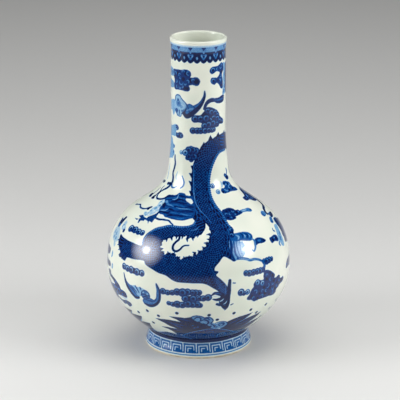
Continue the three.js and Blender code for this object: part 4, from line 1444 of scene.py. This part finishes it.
# The photograph was taken from 2.4 m away, looking down on the vase by 17 degrees. Both were fitted to
# the vase's outline, the lower edge of its foot and the ellipse of its lip.
camera_place = (0.002, -2.388, 0.908)
camera_fall = 16.867
camera_lens = 182.34
camera = bpy.data.objects.new("camera", bpy.data.cameras.new("camera"))
camera.location = camera_place
camera.rotation_euler = (math.radians(90 - camera_fall), 0, 0)
camera.data.lens = camera_lens
bpy.context.collection.objects.link(camera)
bpy.context.scene.camera = camera

# Two round soft boxes light the vase from the sides, brightest in their middles. Each stands where
# the camera sees it mirrored in the glaze at one place of the belly.
lamp_distance = 1.2
glints = {"left": (-36.2, 147.2), "right": (32.5, 149.2)}
box_radius = 0.42
box_watts = 10.5
# The glow that the gloss shows of each box: discs one in front of the other, with a radius and watts.
# The right box is shut down a little, so its glow is smaller.
glow_rings = [(0.12, 2), (0.15, 0.9), (0.19, 0.55), (0.24, 0.7), (0.28, 1.2), (0.33, 1.6), (0.37, 2.3),
              (0.42, 2.6), (0.47, 3.2), (0.52, 3.4), (0.58, 4)]
glow_gap = 0.001
glow_shares = {"left": 1, "right": 0.64}


def mirrored(angle, height):
    """A place on the glaze, and where the camera looks by way of it."""
    radius, slope = outline(height)
    turn = math.radians(angle)
    place = mathutils.Vector((radius * math.sin(turn), -radius * math.cos(turn), height)) * MM
    normal = mathutils.Vector((math.sin(turn), -math.cos(turn), -slope)).normalized()
    view = (place - mathutils.Vector(camera_place)).normalized()
    return place, view.reflect(normal)


def lamp(name, place, toward, radius, watts):
    """A round soft lamp. The camera doesn't see it, but the glaze does."""
    light = bpy.data.lights.new(name, "AREA")
    light.shape = "DISK"
    light.size = 2 * radius
    light.energy = watts
    holder = bpy.data.objects.new(name, light)
    holder.location = place
    holder.rotation_euler = toward.to_track_quat("-Z", "Y").to_euler()
    holder.visible_camera = False
    bpy.context.collection.objects.link(holder)
    return holder


for side, (angle, height) in glints.items():
    place, direction = mirrored(angle, height)
    box = lamp(f"soft_box_{side}", place + direction * lamp_distance, -direction, box_radius, box_watts)
    box.visible_glossy = False
    share = glow_shares[side]
    for ring, (radius, watts) in enumerate(glow_rings):
        glow_place = place + direction * (lamp_distance + (ring + 1) * glow_gap)
        glow = lamp(f"soft_box_{side}_glow_{ring}", glow_place, -direction, radius * share,
                    watts * share ** 2)
        glow.visible_diffuse = False

# A wide weak lamp overhead evens out the table. It is left out of the glaze's reflections.
overhead_place = (0, 0.3, 2.6)
overhead_radius = 2
overhead_watts = 60
overhead = lamp("overhead", overhead_place, mathutils.Vector((0, 0, -1)), overhead_radius, overhead_watts)
overhead.visible_glossy = False

# The rest of the studio is nearly dark
studio_light = 0.08
world = bpy.data.worlds.new("studio")
bpy.context.scene.world = world
world.use_nodes = True
world.node_tree.nodes["Background"].inputs["Color"].default_value = linear("#ffffff")
world.node_tree.nodes["Background"].inputs["Strength"].default_value = studio_light

bpy.context.scene.view_settings.view_transform = "Standard"
